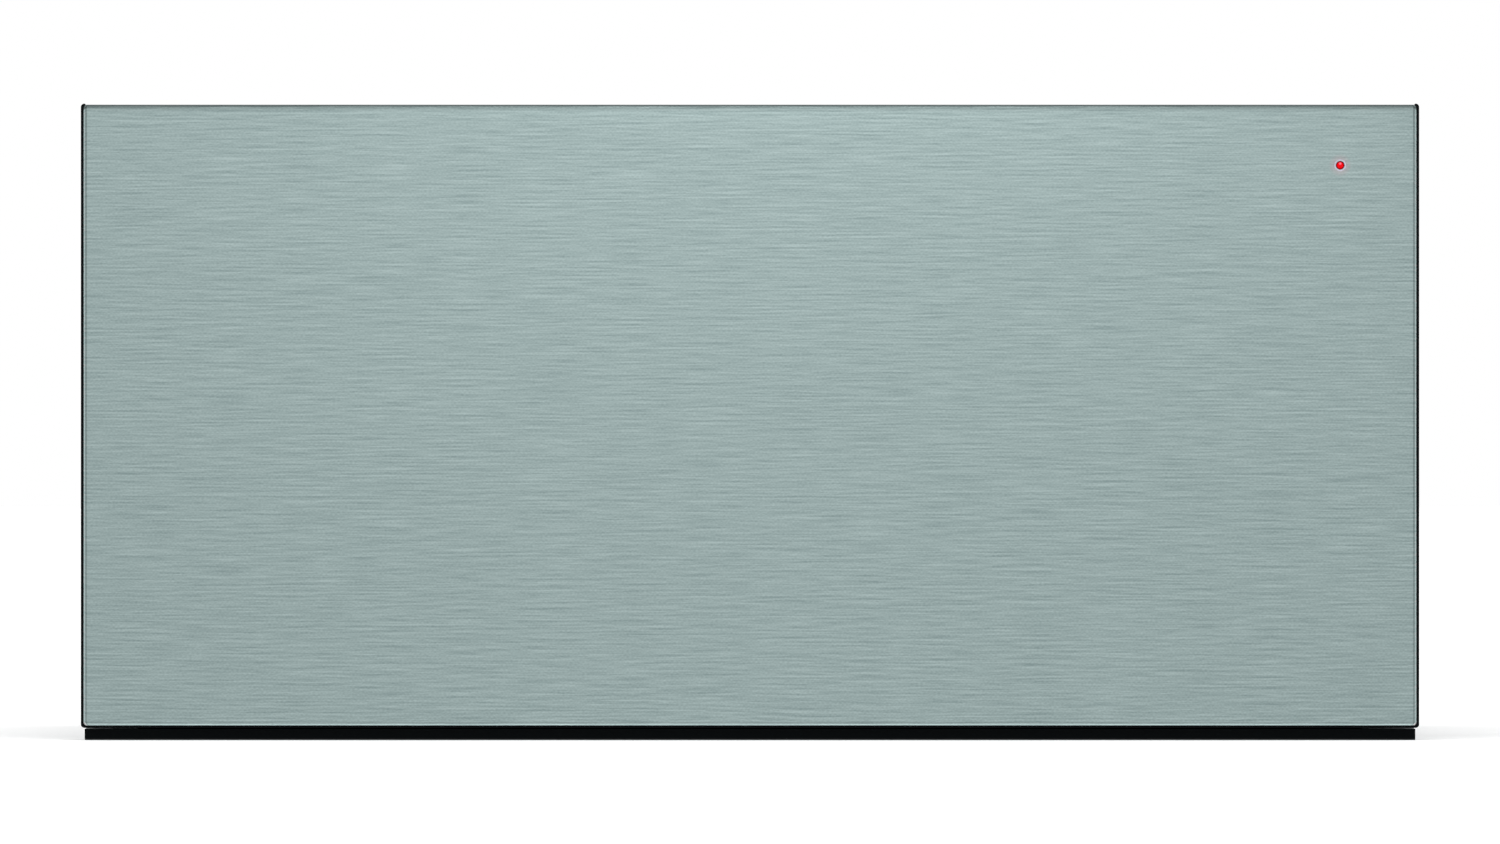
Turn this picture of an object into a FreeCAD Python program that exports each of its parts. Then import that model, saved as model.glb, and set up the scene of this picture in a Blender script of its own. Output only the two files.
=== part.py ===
import FreeCAD, Part
import math
import os

V = FreeCAD.Vector

# Built-in warming drawer. Millimetres, X to the right, Y to the back, Z up.
# The origin is the middle of the footprint, at the height of the base.

# Whole appliance
front_width = 596.0
overall_height = 283.5
overall_depth = 574.0
front_depth = 21.0
push_gap = 6.0
chassis_side_gap = 24.0
chassis_top_gap = 4.5
sheet = 0.8
fit_gap = 0.2

# Drawer front
outline = 1.0
strip_height = 5.5
skin_sheet = 1.0
skin_return = 5.0
skin_edge_radius = 1.75
skin_corner_radius = 2.1
skin_drop = 0.5
carrier_bar = 16.0
carrier_corner_radius = 1.6
carrier_tongue = 6.0
carrier_ear = 1.6
inner_panel_margin = 2.0
inner_panel_corner = 3.0
stiffener_x = 180.0
stiffener_width = 30.0
stiffener_flange = 10.0
stiffener_end_gap = 34.0

# Indicator at the upper right of the front
indicator_from_right = 35.2
indicator_from_top = 27.5
lens_radius = 1.9
countersink_radius = 2.7
countersink_depth = 0.7
lens_recess = 0.15
lens_foot_radius = 4.0
lens_foot = 1.2
lens_length = 7.0
holder_wall = 2.8
board_sheet = 1.6
led_height = 1.0
led_side = 3.0

# Controls on the top edge of the front
control_gap = 5.8
control_width = 110.0
control_height = 22.0
control_drop = 0.5
control_wall = 1.6
control_top_wall = 2.0
key_length = 16.0
key_width = 7.0
key_pitch = 32.0
key_count = 3
key_travel = 1.0
key_rise = 0.3
key_flange = 1.0
key_flange_sheet = 1.3
key_stem_radius = 2.0
switch_side = 6.0
switch_height = 4.0
switch_button_radius = 1.6
switch_button = 1.4
key_stem = 3.4
board_post_radius = 1.6
light_radius = 1.0
light_count = 4
light_pitch = 4.0

# Trim strip under the front
strip_inset = 1.6
strip_setback = 6.0
strip_wall = 2.0
strip_gap = 0.5
strip_foot = 2.0
strip_lift = 0.5

# Chassis
back_inset = 14.0
back_flange_gap = 2.0
side_flange = 14.0
mount_flange_margin = 1.6
mount_flange_end = 2.0
mount_hole_radius = 2.25
mount_hole_from_edge = 6.9
mount_hole_spacing = 160.0
bead_width = 14.0
bead_depth = 3.0
bead_count = 4
bead_end_gap = 70.0
side_bead_depth = 3.0
bumper_radius = 5.0
bumper_height = 1.5
bumper_from_end = 14.0
vent_count = 9
vent_width = 4.0
vent_length = 44.0
vent_pitch = 11.0
vent_from_top = 52.0

# Screws
screw_radius = 1.8
screw_head_radius = 3.5
screw_head = 2.0
screw_bite = 0.6

# Runners
rail_height = 45.0
rail_thickness = 12.7
rail_sheet = 1.2
rail_rear_gap = 75.2
rail_setback = 7.0
rail_middle = 120.0
rail_reach = 9.5
rail_lip = 2.0
rail_web_gap = 0.8
rail_end_gap = 1.1
rail_floor_gap = 1.4
drawer_travel = 420.0
ball_radius = 1.6
ball_gap = 0.2
ball_count = 6
cage_sheet = 0.8
cage_wing = 1.0
cage_margin = 14.0

# Drawer box
rim_gap = 17.0
wall_gap = 8.9
pan_height = 14.0
heater_room = 27.2
mat_sheet = 2.0
mat_margin = 4.0
mat_corner = 12.0
panel_flange_gap = 1.9
floor_slot_length = 60.0
floor_slot_width = 4.0
floor_slot_count = 5
floor_slot_pitch = 88.0
floor_slot_from_edge = 10.0

# Fan and rear wall
fan_height = 140.0
fan_radius = 50.0
fan_width = 26.0
fan_blades = 20
fan_blade_sheet = 1.0
fan_blade_length = 14.0
fan_disc = 1.2
fan_front_gap = 5.0
fan_back_gap = 8.2
hub_radius = 8.0
hub_length = 14.0
shaft_radius = 2.5
shaft_fit = 0.05
shaft_hole = 4.5
motor_radius = 31.0
motor_length = 32.0
motor_flange_radius = 40.0
motor_flange = 2.0
motor_bearing = 24.0
grille_width = 3.6
grille_pitch = 8.0
grille_rows = 11

# Heating
heater_radius = 3.25
heater_runs = 6
heater_pitch = 70.0
heater_front_gap = 60.0
heater_rear_gap = 34.0
heater_tail = 15.0
heater_rise = 16.2
bush_radius = 7.0
bush_length = 10.0
bracket_width = 12.0
bracket_overhang = 18.0
probe_radius = 2.0
probe_length = 24.0
probe_x = 110.0
probe_from_rim = 52.0
probe_head_radius = 6.0
probe_head = 8.0
cutout_radius = 8.0
cutout_height = 11.0
cutout_plate = 1.5
cutout_ear = 7.0
cutout_tag = 4.0
cutout_x = 100.0
cutout_lift = 46.0

# Push latch
latch_lift = 40.0
latch_width = 26.0
latch_body_height = 22.0
latch_length = 47.0
latch_wall = 7.0
plunger_radius = 5.0
plunger_fit = 0.1
plunger_hold = 20.0
plunger_reach = 33.3
magnet_radius = 4.0
magnet_length = 2.0
magnet_gap = 0.1
striker_width = 30.0
striker_height = 24.0
striker_sheet = 2.0
spring_wire = 1.0
spring_turns = 5
spring_side_gap = 0.8
spring_end_gap = 0.3

# Supply entry, trunking and glands
gland_bore = 2.3
gland_radius = 6.0
gland_length = 10.0
gland_from_side = 123.2
gland_height = 156.0
trunk_height = 14.0
trunk_depth = 10.0
trunk_wall = 1.2
trunk_gap = 3.0
terminal_from_side = 73.2
terminal_width = 50.0
terminal_depth = 20.0
terminal_height = 18.0
terminal_from_back = 14.0
cover_wall = 1.6
cover_room = 10.0
cover_depth = 44.0
cover_headroom = 4.0
entry_height = 30.0
entry_radius = 4.0
entry_neck_radius = 7.0
entry_flange_radius = 11.0
entry_end_gap = 3.0
entry_inside = 8.0

# Main levels, measured from the front face along Y and from the base along Z
y_front = -overall_depth / 2
y_front_back = y_front + front_depth
y_flange = y_front_back + push_gap
y_rear = overall_depth / 2
chassis_depth = y_rear - y_flange
y_back_out = y_rear - back_inset
y_back_in = y_back_out - sheet
half_front = front_width / 2
half_chassis = half_front - chassis_side_gap
half_inside = half_chassis - sheet
half_drawer = half_inside - rail_thickness
terminal_x = half_inside - terminal_from_side
gland_x = half_inside - gland_from_side
half_pan = half_drawer - sheet
half_liner = half_pan - wall_gap
half_cavity = half_liner - sheet
chassis_height = overall_height - chassis_top_gap
rim_height = chassis_height - rim_gap
z_top_under = chassis_height - sheet
floor_under = pan_height + sheet + heater_room
floor_top = floor_under + sheet
rim_under = rim_height - sheet
service_depth = striker_sheet + magnet_gap + magnet_length + plunger_reach + latch_length
y_box_end = y_back_in - service_depth
y_duct_back = y_box_end - sheet
y_duct = y_duct_back - fan_front_gap - fan_width - fan_back_gap
y_grille = y_duct - sheet
y_liner_in = y_front_back + sheet
y_rail = y_flange + rail_setback
y_rail_end = y_back_in - rail_rear_gap
rail_length = y_rail_end - y_rail
back_flange = back_inset - back_flange_gap
entry_outside = back_inset - entry_end_gap
skin_half = half_front - outline
skin_bottom = strip_height + outline
skin_top = overall_height - skin_drop
y_lip = y_front + skin_edge_radius
y_carrier = y_front + skin_return
y_carrier_back = y_front_back - sheet
indicator_x = half_front - indicator_from_right
indicator_z = overall_height - indicator_from_top
holder_reach = lens_foot_radius + fit_gap + holder_wall
control_end = indicator_x - holder_reach - control_gap
control_start = control_end - control_width
control_top = skin_top - control_drop
hole_radius = screw_radius + fit_gap


def box(x0, x1, y0, y1, z0, z1):
    return Part.makeBox(x1 - x0, y1 - y0, z1 - z0, V(x0, y0, z0))


def rod_x(radius, x0, x1, y, z):
    return Part.makeCylinder(radius, x1 - x0, V(x0, y, z), V(1, 0, 0))


def rod_y(radius, y0, y1, x, z):
    return Part.makeCylinder(radius, y1 - y0, V(x, y0, z), V(0, 1, 0))


def rod_z(radius, z0, z1, x, y):
    return Part.makeCylinder(radius, z1 - z0, V(x, y, z0), V(0, 0, 1))


def join(shapes):
    return shapes[0].fuse(shapes[1:]).removeSplitter()


def flip_x(shape):
    return shape.mirror(V(0, 0, 0), V(1, 0, 0))


def slot_y(length, width, y0, y1, x, z):
    # A round-ended slot along X, cut through a wall that faces Y.
    reach = (length - width) / 2
    middle = box(x - reach, x + reach, y0, y1, z - width / 2, z + width / 2)
    ends = [rod_y(width / 2, y0, y1, x + side * reach, z) for side in (-1, 1)]
    return join([middle] + ends)


def slot_z(length, width, z0, z1, x, y):
    # A round-ended slot along X, cut through a level sheet.
    reach = (length - width) / 2
    middle = box(x - reach, x + reach, y - width / 2, y + width / 2, z0, z1)
    ends = [rod_z(width / 2, z0, z1, x + side * reach, y) for side in (-1, 1)]
    return join([middle] + ends)


def trough_z(length, width, z0, z1, x, y):
    # A round-ended slot along Y, cut through a level sheet.
    reach = (length - width) / 2
    middle = box(x - width / 2, x + width / 2, y - reach, y + reach, z0, z1)
    ends = [rod_z(width / 2, z0, z1, x, y + side * reach) for side in (-1, 1)]
    return join([middle] + ends)


def trough_x(length, width, x0, x1, y, z):
    # A round-ended slot along Y, cut through a wall that faces X.
    reach = (length - width) / 2
    middle = box(x0, x1, y - reach, y + reach, z - width / 2, z + width / 2)
    ends = [rod_x(width / 2, x0, x1, y + side * reach, z) for side in (-1, 1)]
    return join([middle] + ends)


def evenly(count, pitch):
    # Positions of a row about its middle.
    return [(i - (count - 1) / 2) * pitch for i in range(count)]


def edges_along_y(shape):
    found = []
    for edge in shape.Edges:
        ends = [vertex.Point for vertex in edge.Vertexes]
        if len(ends) == 2 and (ends[1] - ends[0]).cross(V(0, 1, 0)).Length < sheet / 100:
            found.append(edge)
    return found


def edges_at_y(shape, y):
    return [edge for edge in shape.Edges if all(abs(v.Y - y) < sheet / 100 for v in edge.Vertexes)]


# Drawer front


def front_skin():
    y_end = y_front + skin_return
    shell = box(-skin_half, skin_half, y_front, y_end, skin_bottom, skin_top)
    shell = shell.makeFillet(skin_corner_radius, edges_along_y(shell))
    shell = shell.makeFillet(skin_edge_radius, edges_at_y(shell, y_front))
    inner = skin_half - skin_sheet
    y_in = y_front + skin_sheet
    hollow = box(-inner, inner, y_in, y_end, skin_bottom + skin_sheet, skin_top - skin_sheet)
    hole_r = lens_radius + fit_gap / 2
    hole = rod_y(hole_r, y_front, y_in, indicator_x, indicator_z)
    at = V(indicator_x, y_front, indicator_z)
    sink = Part.makeCone(countersink_radius, hole_r, countersink_depth, at, V(0, 1, 0))
    return shell.cut([hollow, hole, sink])


def carrier_tongue_box(x0, x1, z0, z1):
    # The part of a bar that reaches forward into the folded skin.
    return box(x0, x1, y_front + skin_sheet + fit_gap, y_carrier, z0, z1)


def carrier_frame(y0, y1):
    # Full outline of the carrier, open above the skin but for a small ear at each end.
    frame = box(-half_front, half_front, y0, y1, strip_height, overall_height)
    frame = frame.makeFillet(carrier_corner_radius, edges_along_y(frame))
    open_half = half_front - carrier_ear
    return frame.cut(box(-open_half, open_half, y0, y1, skin_top, overall_height))


def carrier_lip():
    # Thin edge that stands round the folded skin and shows as a black line from the front.
    gap = fit_gap / 2
    half = skin_half + gap
    room = box(-half, half, y_lip, y_carrier, skin_bottom - gap, skin_top + gap)
    room = room.makeFillet(skin_corner_radius + gap, edges_along_y(room))
    return carrier_frame(y_lip, y_carrier).cut(room)


def carrier_part(x0, x1, z0, z1):
    # One bar of the frame with its stretch of the lip.
    bar = carrier_frame(y_carrier, y_carrier_back).common(box(x0, x1, y_carrier, y_carrier_back, z0, z1))
    return [bar, carrier_lip().common(box(x0, x1, y_lip, y_carrier, z0, z1))]


def side_bar():
    inner = half_front - carrier_bar
    outside = skin_half - skin_sheet - fit_gap
    low = skin_bottom + skin_sheet + fit_gap
    high = skin_top - skin_sheet - fit_gap
    tongue = carrier_tongue_box(outside - carrier_tongue, outside, low, high)
    return join(carrier_part(inner, half_front, strip_height, overall_height) + [tongue])


def level_bar(x0, x1, z0, z1, tongue0, tongue1):
    inside = skin_half - skin_sheet - 2 * fit_gap - carrier_tongue
    tongue = carrier_tongue_box(max(x0, -inside), min(x1, inside), tongue0, tongue1)
    parts = carrier_part(x0, x1, z0, z1) + [tongue]
    return join([part for part in parts if part.Solids])


def front_carrier():
    inner = half_front - carrier_bar
    low = skin_bottom + skin_sheet + fit_gap
    high = skin_top - skin_sheet - fit_gap
    top = skin_top - carrier_bar
    bottom = level_bar(-inner, inner, strip_height, strip_height + carrier_bar, low, low + carrier_tongue)
    top_left = level_bar(-inner, control_start, top, skin_top, high - carrier_tongue, high)
    top_right = level_bar(control_end, inner, top, skin_top, high - carrier_tongue, high)
    right = side_bar()
    return Part.makeCompound([right, flip_x(right), bottom, top_left, top_right])


def front_screw_places():
    rise = (rim_height + floor_top) / 2
    spread = (rim_height - floor_top) / 3
    return [(side * stiffener_leg_x(), rise + lift * spread) for side in (-1, 1) for lift in (-1, 1)]


def stiffener_leg_x():
    return stiffener_x + stiffener_width / 2 + stiffener_flange / 2


def front_holes(y0, y1, radius):
    return [rod_y(radius, y0, y1, x, z) for x, z in front_screw_places()]


def front_inner_panel():
    half = half_front - inner_panel_margin
    low = strip_height + inner_panel_margin
    high = overall_height - inner_panel_margin
    plate = box(-half, half, y_carrier_back, y_front_back, low, high)
    plate = plate.makeFillet(inner_panel_corner, edges_along_y(plate))
    return plate.cut(front_holes(y_carrier_back, y_front_back, hole_radius))


def front_stiffeners():
    y_in = y_front + skin_sheet
    y_foot = y_carrier_back - sheet
    low = strip_height + stiffener_end_gap
    high = overall_height - stiffener_end_gap
    half = stiffener_width / 2
    web = box(stiffener_x - half, stiffener_x + half, y_in, y_in + sheet, low, high)
    pieces = [web]
    for side in (-1, 1):
        edge = stiffener_x + side * half
        inside = edge - side * sheet
        outside = edge + side * stiffener_flange
        pieces.append(box(min(edge, inside), max(edge, inside), y_in, y_carrier_back, low, high))
        pieces.append(box(min(inside, outside), max(inside, outside), y_foot, y_carrier_back, low, high))
    right = join(pieces).cut(front_holes(y_foot, y_carrier_back, hole_radius))
    return Part.makeCompound([right, flip_x(right)])


# Indicator


def indicator_lens():
    y_tip = y_front + lens_recess
    y_shoulder = y_front + countersink_depth
    y_foot = y_front + skin_sheet + fit_gap / 2
    y_end = y_front + lens_length
    slope = math.sqrt(0.5)
    tip = V(0, y_tip, 0)
    cap = V(lens_radius * slope, y_tip + (y_shoulder - y_tip) * (1 - slope), 0)
    rim = V(lens_radius, y_shoulder, 0)
    dome = Part.Arc(tip, cap, rim).toShape()
    corners = [rim, V(lens_radius, y_foot, 0), V(lens_foot_radius, y_foot, 0)]
    corners.append(V(lens_foot_radius, y_foot + lens_foot, 0))
    corners.append(V(lens_radius, y_foot + lens_foot, 0))
    corners.append(V(lens_radius, y_end, 0))
    corners.append(V(0, y_end, 0))
    corners.append(tip)
    lines = [Part.makeLine(a, b) for a, b in zip(corners, corners[1:])]
    face = Part.Face(Part.Wire([dome] + lines))
    lens = face.revolve(V(0, 0, 0), V(0, 1, 0), 360)
    lens.translate(V(indicator_x, 0, indicator_z))
    return lens


def indicator_holder():
    inner = lens_foot_radius + fit_gap
    y0 = y_front + skin_sheet
    y1 = y_front + lens_length + led_height
    ring = rod_y(holder_reach, y0, y1, indicator_x, indicator_z)
    return ring.cut(rod_y(inner, y0, y1, indicator_x, indicator_z))


def indicator_board():
    reach = holder_reach
    y0 = y_front + lens_length + led_height
    x, z = indicator_x, indicator_z
    half = led_side / 2
    plate = box(x - reach, x + reach, y0, y0 + board_sheet, z - reach, z + reach)
    led = box(x - half, x + half, y0 - led_height + fit_gap / 2, y0, z - half, z + half)
    return Part.makeCompound([plate, led])


# Controls on the top edge


def key_middle_y():
    return (y_carrier + y_carrier_back) / 2


def key_places():
    middle = (control_start + control_end) / 2
    return [middle + shift for shift in evenly(key_count, key_pitch)]


def light_places():
    # One short row of lights in each gap between two keys.
    keys = key_places()
    middles = [(a + b) / 2 for a, b in zip(keys, keys[1:])]
    share = light_count / len(middles)
    return [x + shift for x in middles for shift in evenly(round(share), light_pitch)]


def stem_end():
    return control_top - control_top_wall - fit_gap - key_flange_sheet - key_stem


def board_top():
    # The switches stand one key travel below the stems.
    return stem_end() - key_travel - fit_gap / 2 - switch_button - switch_height


def post_places():
    inset = control_wall + board_post_radius + fit_gap
    reach = (y_carrier_back - y_carrier) / 2 - inset
    ends = (control_start + inset, control_end - inset)
    return [(x, key_middle_y() + side * reach) for x in ends for side in (-1, 1)]


def control_housing():
    x0, x1 = control_start, control_end
    y0, y1 = y_carrier, y_carrier_back
    low = control_top - control_height
    under = control_top - control_top_wall
    w = control_wall
    shell = box(x0, x1, y0, y1, low, control_top)
    shell = shell.cut(box(x0 + w, x1 - w, y0 + w, y1 - w, low, under))
    posts = [rod_z(board_post_radius, board_top(), under, x, y) for x, y in post_places()]
    shell = join([shell] + posts)
    y = key_middle_y()
    length, width = key_length + 2 * fit_gap, key_width + 2 * fit_gap
    holes = [slot_z(length, width, under, control_top, x, y) for x in key_places()]
    ring = light_radius + fit_gap / 2
    holes += [rod_z(ring, under, control_top, x, y) for x in light_places()]
    return shell.cut(holes)


def control_board():
    top = board_top()
    inset = control_wall + fit_gap
    x0, x1 = control_start + inset, control_end - inset
    plate = box(x0, x1, y_carrier + inset, y_carrier_back - inset, top - board_sheet, top)
    y = key_middle_y()
    half = switch_side / 2
    pieces = [plate]
    for x in key_places():
        base = box(x - half, x + half, y - half, y + half, top, top + switch_height)
        z = top + switch_height
        pieces.append(join([base, rod_z(switch_button_radius, z, z + switch_button, x, y)]))
    return Part.makeCompound(pieces)


def level_lights():
    y = key_middle_y()
    lights = [rod_z(light_radius, board_top(), control_top, x, y) for x in light_places()]
    return Part.makeCompound(lights)


def key(x):
    y = key_middle_y()
    under = control_top - control_top_wall
    top = control_top + key_rise
    z_flange = under - fit_gap
    low = z_flange - key_flange_sheet
    cap = slot_z(key_length, key_width, low, top, x, y)
    wide = slot_z(key_length + 2 * key_flange, key_width + 2 * key_flange, low, z_flange, x, y)
    return join([cap, wide, rod_z(key_stem_radius, stem_end(), low, x, y)])


# Trim strip and chassis


def strip_half():
    return half_front - strip_inset


def bottom_trim():
    y0 = y_front + strip_setback
    half = strip_half()
    wall = box(-half, half, y0, y0 + strip_wall, strip_lift, strip_height - strip_gap)
    foot = box(-half, half, y0 + strip_wall, y_front_back, sheet, sheet + strip_foot)
    return join([wall, foot])


def bead_places():
    return evenly(bead_count, 2 * half_cavity / bead_count)


def bead_length():
    return chassis_depth - 2 * bead_end_gap - back_inset


def bead_middle_y():
    return (y_flange + y_back_in) / 2


def beaded(plate, z_outer, z_inner):
    # Long pressed beads that stiffen a level sheet, with its outer side left flat.
    up = 1 if z_inner > z_outer else -1
    deep = z_inner + up * bead_depth
    length = bead_length()
    y = bead_middle_y()
    pans = []
    holes = []
    for x in bead_places():
        low, high = sorted((z_outer, deep))
        wide = bead_width + 2 * sheet
        pans.append(trough_z(length + 2 * sheet, wide, low, high, x, y))
        low, high = sorted((z_outer, deep - up * sheet))
        holes.append(trough_z(length, bead_width, low, high, x, y))
    return join([plate] + pans).cut(holes)


def level_screw_places():
    x = half_inside - side_flange / 2
    inset = 2 * side_flange
    return [(side * x, y) for side in (-1, 1) for y in (y_flange + inset, y_back_in - inset)]


def sunk_screw_cut(z_outer, z_inner):
    # Countersunk holes through a level sheet and the flange it lies on.
    up = 1 if z_inner > z_outer else -1
    cuts = []
    for x, y in level_screw_places():
        at = V(x, y, z_outer)
        cuts.append(Part.makeCone(screw_head_radius, hole_radius, sheet, at, V(0, 0, up)))
    return cuts


def base_plate():
    y_sill = y_front + strip_setback + strip_wall
    plate = box(-half_chassis, half_chassis, y_flange, y_rear, 0, sheet)
    sill = box(-strip_half(), strip_half(), y_sill, y_flange, 0, sheet)
    plate = beaded(join([plate, sill]), 0, sheet)
    return plate.cut(sunk_screw_cut(0, sheet))


def top_plate():
    plate = box(-half_chassis, half_chassis, y_flange, y_rear, z_top_under, chassis_height)
    plate = beaded(plate, chassis_height, z_top_under)
    return plate.cut(sunk_screw_cut(chassis_height, z_top_under))


def mount_hole_x():
    return half_front - mount_flange_margin - mount_hole_from_edge


def mount_hole_heights():
    return [chassis_height / 2 + shift for shift in evenly(2, mount_hole_spacing)]


def rail_screw_places():
    inset = rail_length / 8
    places = [y_rail + inset, (y_rail + y_rail_end) / 2, y_rail_end - inset]
    return [(y, rail_middle) for y in places]


def back_screw_places():
    y = y_back_out + back_flange / 2
    lift = chassis_height / 4
    return [(y, chassis_height / 2 + side * lift) for side in (-1, 1)]


def side_bead_heights():
    # One bead below the runner and one above it, each midway to the end of the panel.
    low, high = rail_middle - rail_height / 2, rail_middle + rail_height / 2
    return [(sheet + low) / 2, (high + z_top_under) / 2]


def side_beaded(panel):
    # Pressed inwards, so that the outer side stays flat.
    deep = half_inside - side_bead_depth
    y = bead_middle_y()
    pans = []
    holes = []
    for z in side_bead_heights():
        wide = bead_width + 2 * sheet
        pans.append(trough_x(bead_length() + 2 * sheet, wide, deep, half_chassis, y, z))
        holes.append(trough_x(bead_length(), bead_width, deep + sheet, half_chassis, y, z))
    return join([panel] + pans).cut(holes)


def side_panel():
    x0, x1 = half_inside, half_chassis
    web = side_beaded(box(x0, x1, y_flange, y_rear, sheet, z_top_under))
    inner = x0 - side_flange
    low = box(inner, x0, y_flange, y_back_in, sheet, 2 * sheet)
    high = box(inner, x0, y_flange, y_back_in, z_top_under - sheet, z_top_under)
    edge = half_front - mount_flange_margin
    ends = (sheet + mount_flange_end, z_top_under - mount_flange_end)
    ear = box(x1, edge, y_flange, y_flange + sheet, ends[0], ends[1])
    holes = [rod_x(hole_radius, x0, x1, y, z) for y, z in rail_screw_places() + back_screw_places()]
    x_hole = mount_hole_x()
    y_end = y_flange + sheet
    holes += [rod_y(mount_hole_radius, y_flange, y_end, x_hole, z) for z in mount_hole_heights()]
    for x, y in level_screw_places():
        if x > 0:
            holes.append(rod_z(hole_radius, sheet, 2 * sheet, x, y))
            holes.append(rod_z(hole_radius, z_top_under - sheet, z_top_under, x, y))
    return join([web, low, high, ear]).cut(holes)


def back_plate():
    plate = box(-half_inside, half_inside, y_back_in, y_back_out, sheet, z_top_under)
    neck = entry_neck_radius + fit_gap / 2
    holes = [rod_y(neck, y_back_in, y_back_out, terminal_x, entry_height)]
    middle = chassis_height - vent_from_top
    low, high = middle - vent_length / 2, middle + vent_length / 2
    for side in (-1, 1):
        for shift in evenly(vent_count, vent_pitch):
            x = side * half_cavity / 2 + shift
            holes.append(box(x - vent_width / 2, x + vent_width / 2, y_back_in, y_back_out, low, high))
    return plate.cut(holes)


def back_angle():
    # Joins the back plate to the right side panel.
    low, high = sheet, z_top_under
    on_side = box(half_inside - sheet, half_inside, y_back_out, y_back_out + back_flange, low, high)
    on_plate = box(half_inside - back_flange, half_inside, y_back_out, y_back_out + sheet, low, high)
    x0, x1 = half_inside - sheet, half_inside
    holes = [rod_x(hole_radius, x0, x1, y, z) for y, z in back_screw_places()]
    return join([on_side, on_plate]).cut(holes)


def back_panel():
    angle = back_angle()
    return Part.makeCompound([back_plate(), angle, flip_x(angle)])


def front_bumpers():
    x = half_chassis + bumper_radius + sheet
    y0 = y_flange - bumper_height
    pads = []
    for z in (sheet + bumper_from_end, z_top_under - bumper_from_end):
        pads += [rod_y(bumper_radius, y0, y_flange, side * x, z) for side in (-1, 1)]
    return Part.makeCompound(pads)


def pan_screw(at, into, through):
    # A screw with a low round head, standing on a face and passing through it.
    back = V(-into.x, -into.y, -into.z)
    head = Part.makeCylinder(screw_head_radius, screw_head, at, back)
    rim = [edge for edge in head.Edges if (edge.CenterOfMass - at).Length > screw_head / 2]
    rim = [edge for edge in rim if edge.Closed]
    head = head.makeChamfer(screw_head / 4, rim)
    return join([head, Part.makeCylinder(screw_radius, through, at, into)])


def sunk_screw(x, y, z_outer, up):
    at = V(x, y, z_outer)
    head = Part.makeCone(screw_head_radius - fit_gap, screw_radius, sheet, at, V(0, 0, up))
    shank = Part.makeCylinder(screw_radius, 2 * sheet + screw_bite, at, V(0, 0, up))
    return join([head, shank])


def chassis_screws():
    screws = []
    for x, y in level_screw_places():
        screws.append(sunk_screw(x, y, 0, 1))
        screws.append(sunk_screw(x, y, chassis_height, -1))
    into_rail = sheet + rail_sheet + screw_bite / 2
    into_back = 2 * sheet + screw_bite
    for side in (-1, 1):
        into = V(-side, 0, 0)
        x = side * half_chassis
        screws += [pan_screw(V(x, y, z), into, into_rail) for y, z in rail_screw_places()]
        screws += [pan_screw(V(x, y, z), into, into_back) for y, z in back_screw_places()]
    return Part.makeCompound(screws)


# Runners, drawn for the right side


def rail_box(u0, u1, v0, v1, y0, y1):
    # u runs from the side panel towards the drawer, v up from the runner's middle.
    return box(half_inside - u1, half_inside - u0, y0, y1, rail_middle + v0, rail_middle + v1)


def ball_room():
    return 2 * (ball_radius + ball_gap)


def mid_half():
    return rail_height / 2 - rail_sheet - ball_room()


def inner_half():
    return mid_half() - rail_sheet - ball_room()


def outer_rail():
    half = rail_height / 2
    s = rail_sheet
    y0, y1 = y_rail, y_rail_end
    pieces = [rail_box(0, s, -half, half, y0, y1)]
    for side in (-1, 1):
        v0, v1 = sorted((side * half, side * (half - s)))
        pieces.append(rail_box(0, rail_reach, v0, v1, y0, y1))
        v0, v1 = sorted((side * half, side * (half - s - rail_lip)))
        pieces.append(rail_box(rail_reach - s, rail_reach, v0, v1, y0, y1))
    x0, x1 = half_inside - s, half_inside
    holes = [rod_x(hole_radius, x0, x1, y, z) for y, z in rail_screw_places()]
    return join(pieces).cut(holes)


def mid_rail():
    half = mid_half()
    s = rail_sheet
    u0 = s + rail_web_gap
    u1 = rail_thickness - s - rail_end_gap
    pieces = [rail_box(u0, u0 + s, -half, half, y_rail, y_rail_end)]
    for side in (-1, 1):
        v0, v1 = sorted((side * half, side * (half - s)))
        pieces.append(rail_box(u0, u1, v0, v1, y_rail, y_rail_end))
    return join(pieces)


def inner_rail():
    half = inner_half()
    s = rail_sheet
    u0 = 2 * s + rail_web_gap + rail_floor_gap
    pieces = [rail_box(rail_thickness - s, rail_thickness, -half, half, y_rail, y_rail_end)]
    for side in (-1, 1):
        v0, v1 = sorted((side * half, side * (half - s)))
        pieces.append(rail_box(u0, rail_thickness, v0, v1, y_rail, y_rail_end))
    x0, x1 = half_drawer, half_drawer + s
    holes = [rod_x(hole_radius, x0, x1, y, z) for y, z in rail_screw_places()]
    return join(pieces).cut(holes)


def cage_span():
    quarter = drawer_travel / 4 + cage_margin
    return y_rail + quarter, y_rail_end - quarter


def ball_cages(u, v):
    # Strips with one row of balls each, above and below the runner's middle, on both sides.
    y0, y1 = cage_span()
    wide = ball_radius + cage_wing
    half = cage_sheet / 2
    pieces = []
    for side in (-1, 1):
        strip = rail_box(u - wide, u + wide, side * v - half, side * v + half, y0, y1)
        x, z = half_inside - u, rail_middle + side * v
        places = [(y0 + y1) / 2 + shift for shift in evenly(ball_count, (y1 - y0) / ball_count)]
        low, high = z - half, z + half
        strip = strip.cut([rod_z(ball_radius + ball_gap / 2, low, high, x, y) for y in places])
        balls = [Part.makeSphere(ball_radius, V(x, y, z)) for y in places]
        pieces += [strip] + balls
    pieces += [flip_x(piece) for piece in pieces]
    return Part.makeCompound(pieces)


def outer_cages():
    # Midway between the web and the lip of the outer member.
    u = rail_reach / 2
    return ball_cages(u, mid_half() + ball_room() / 2)


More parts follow.
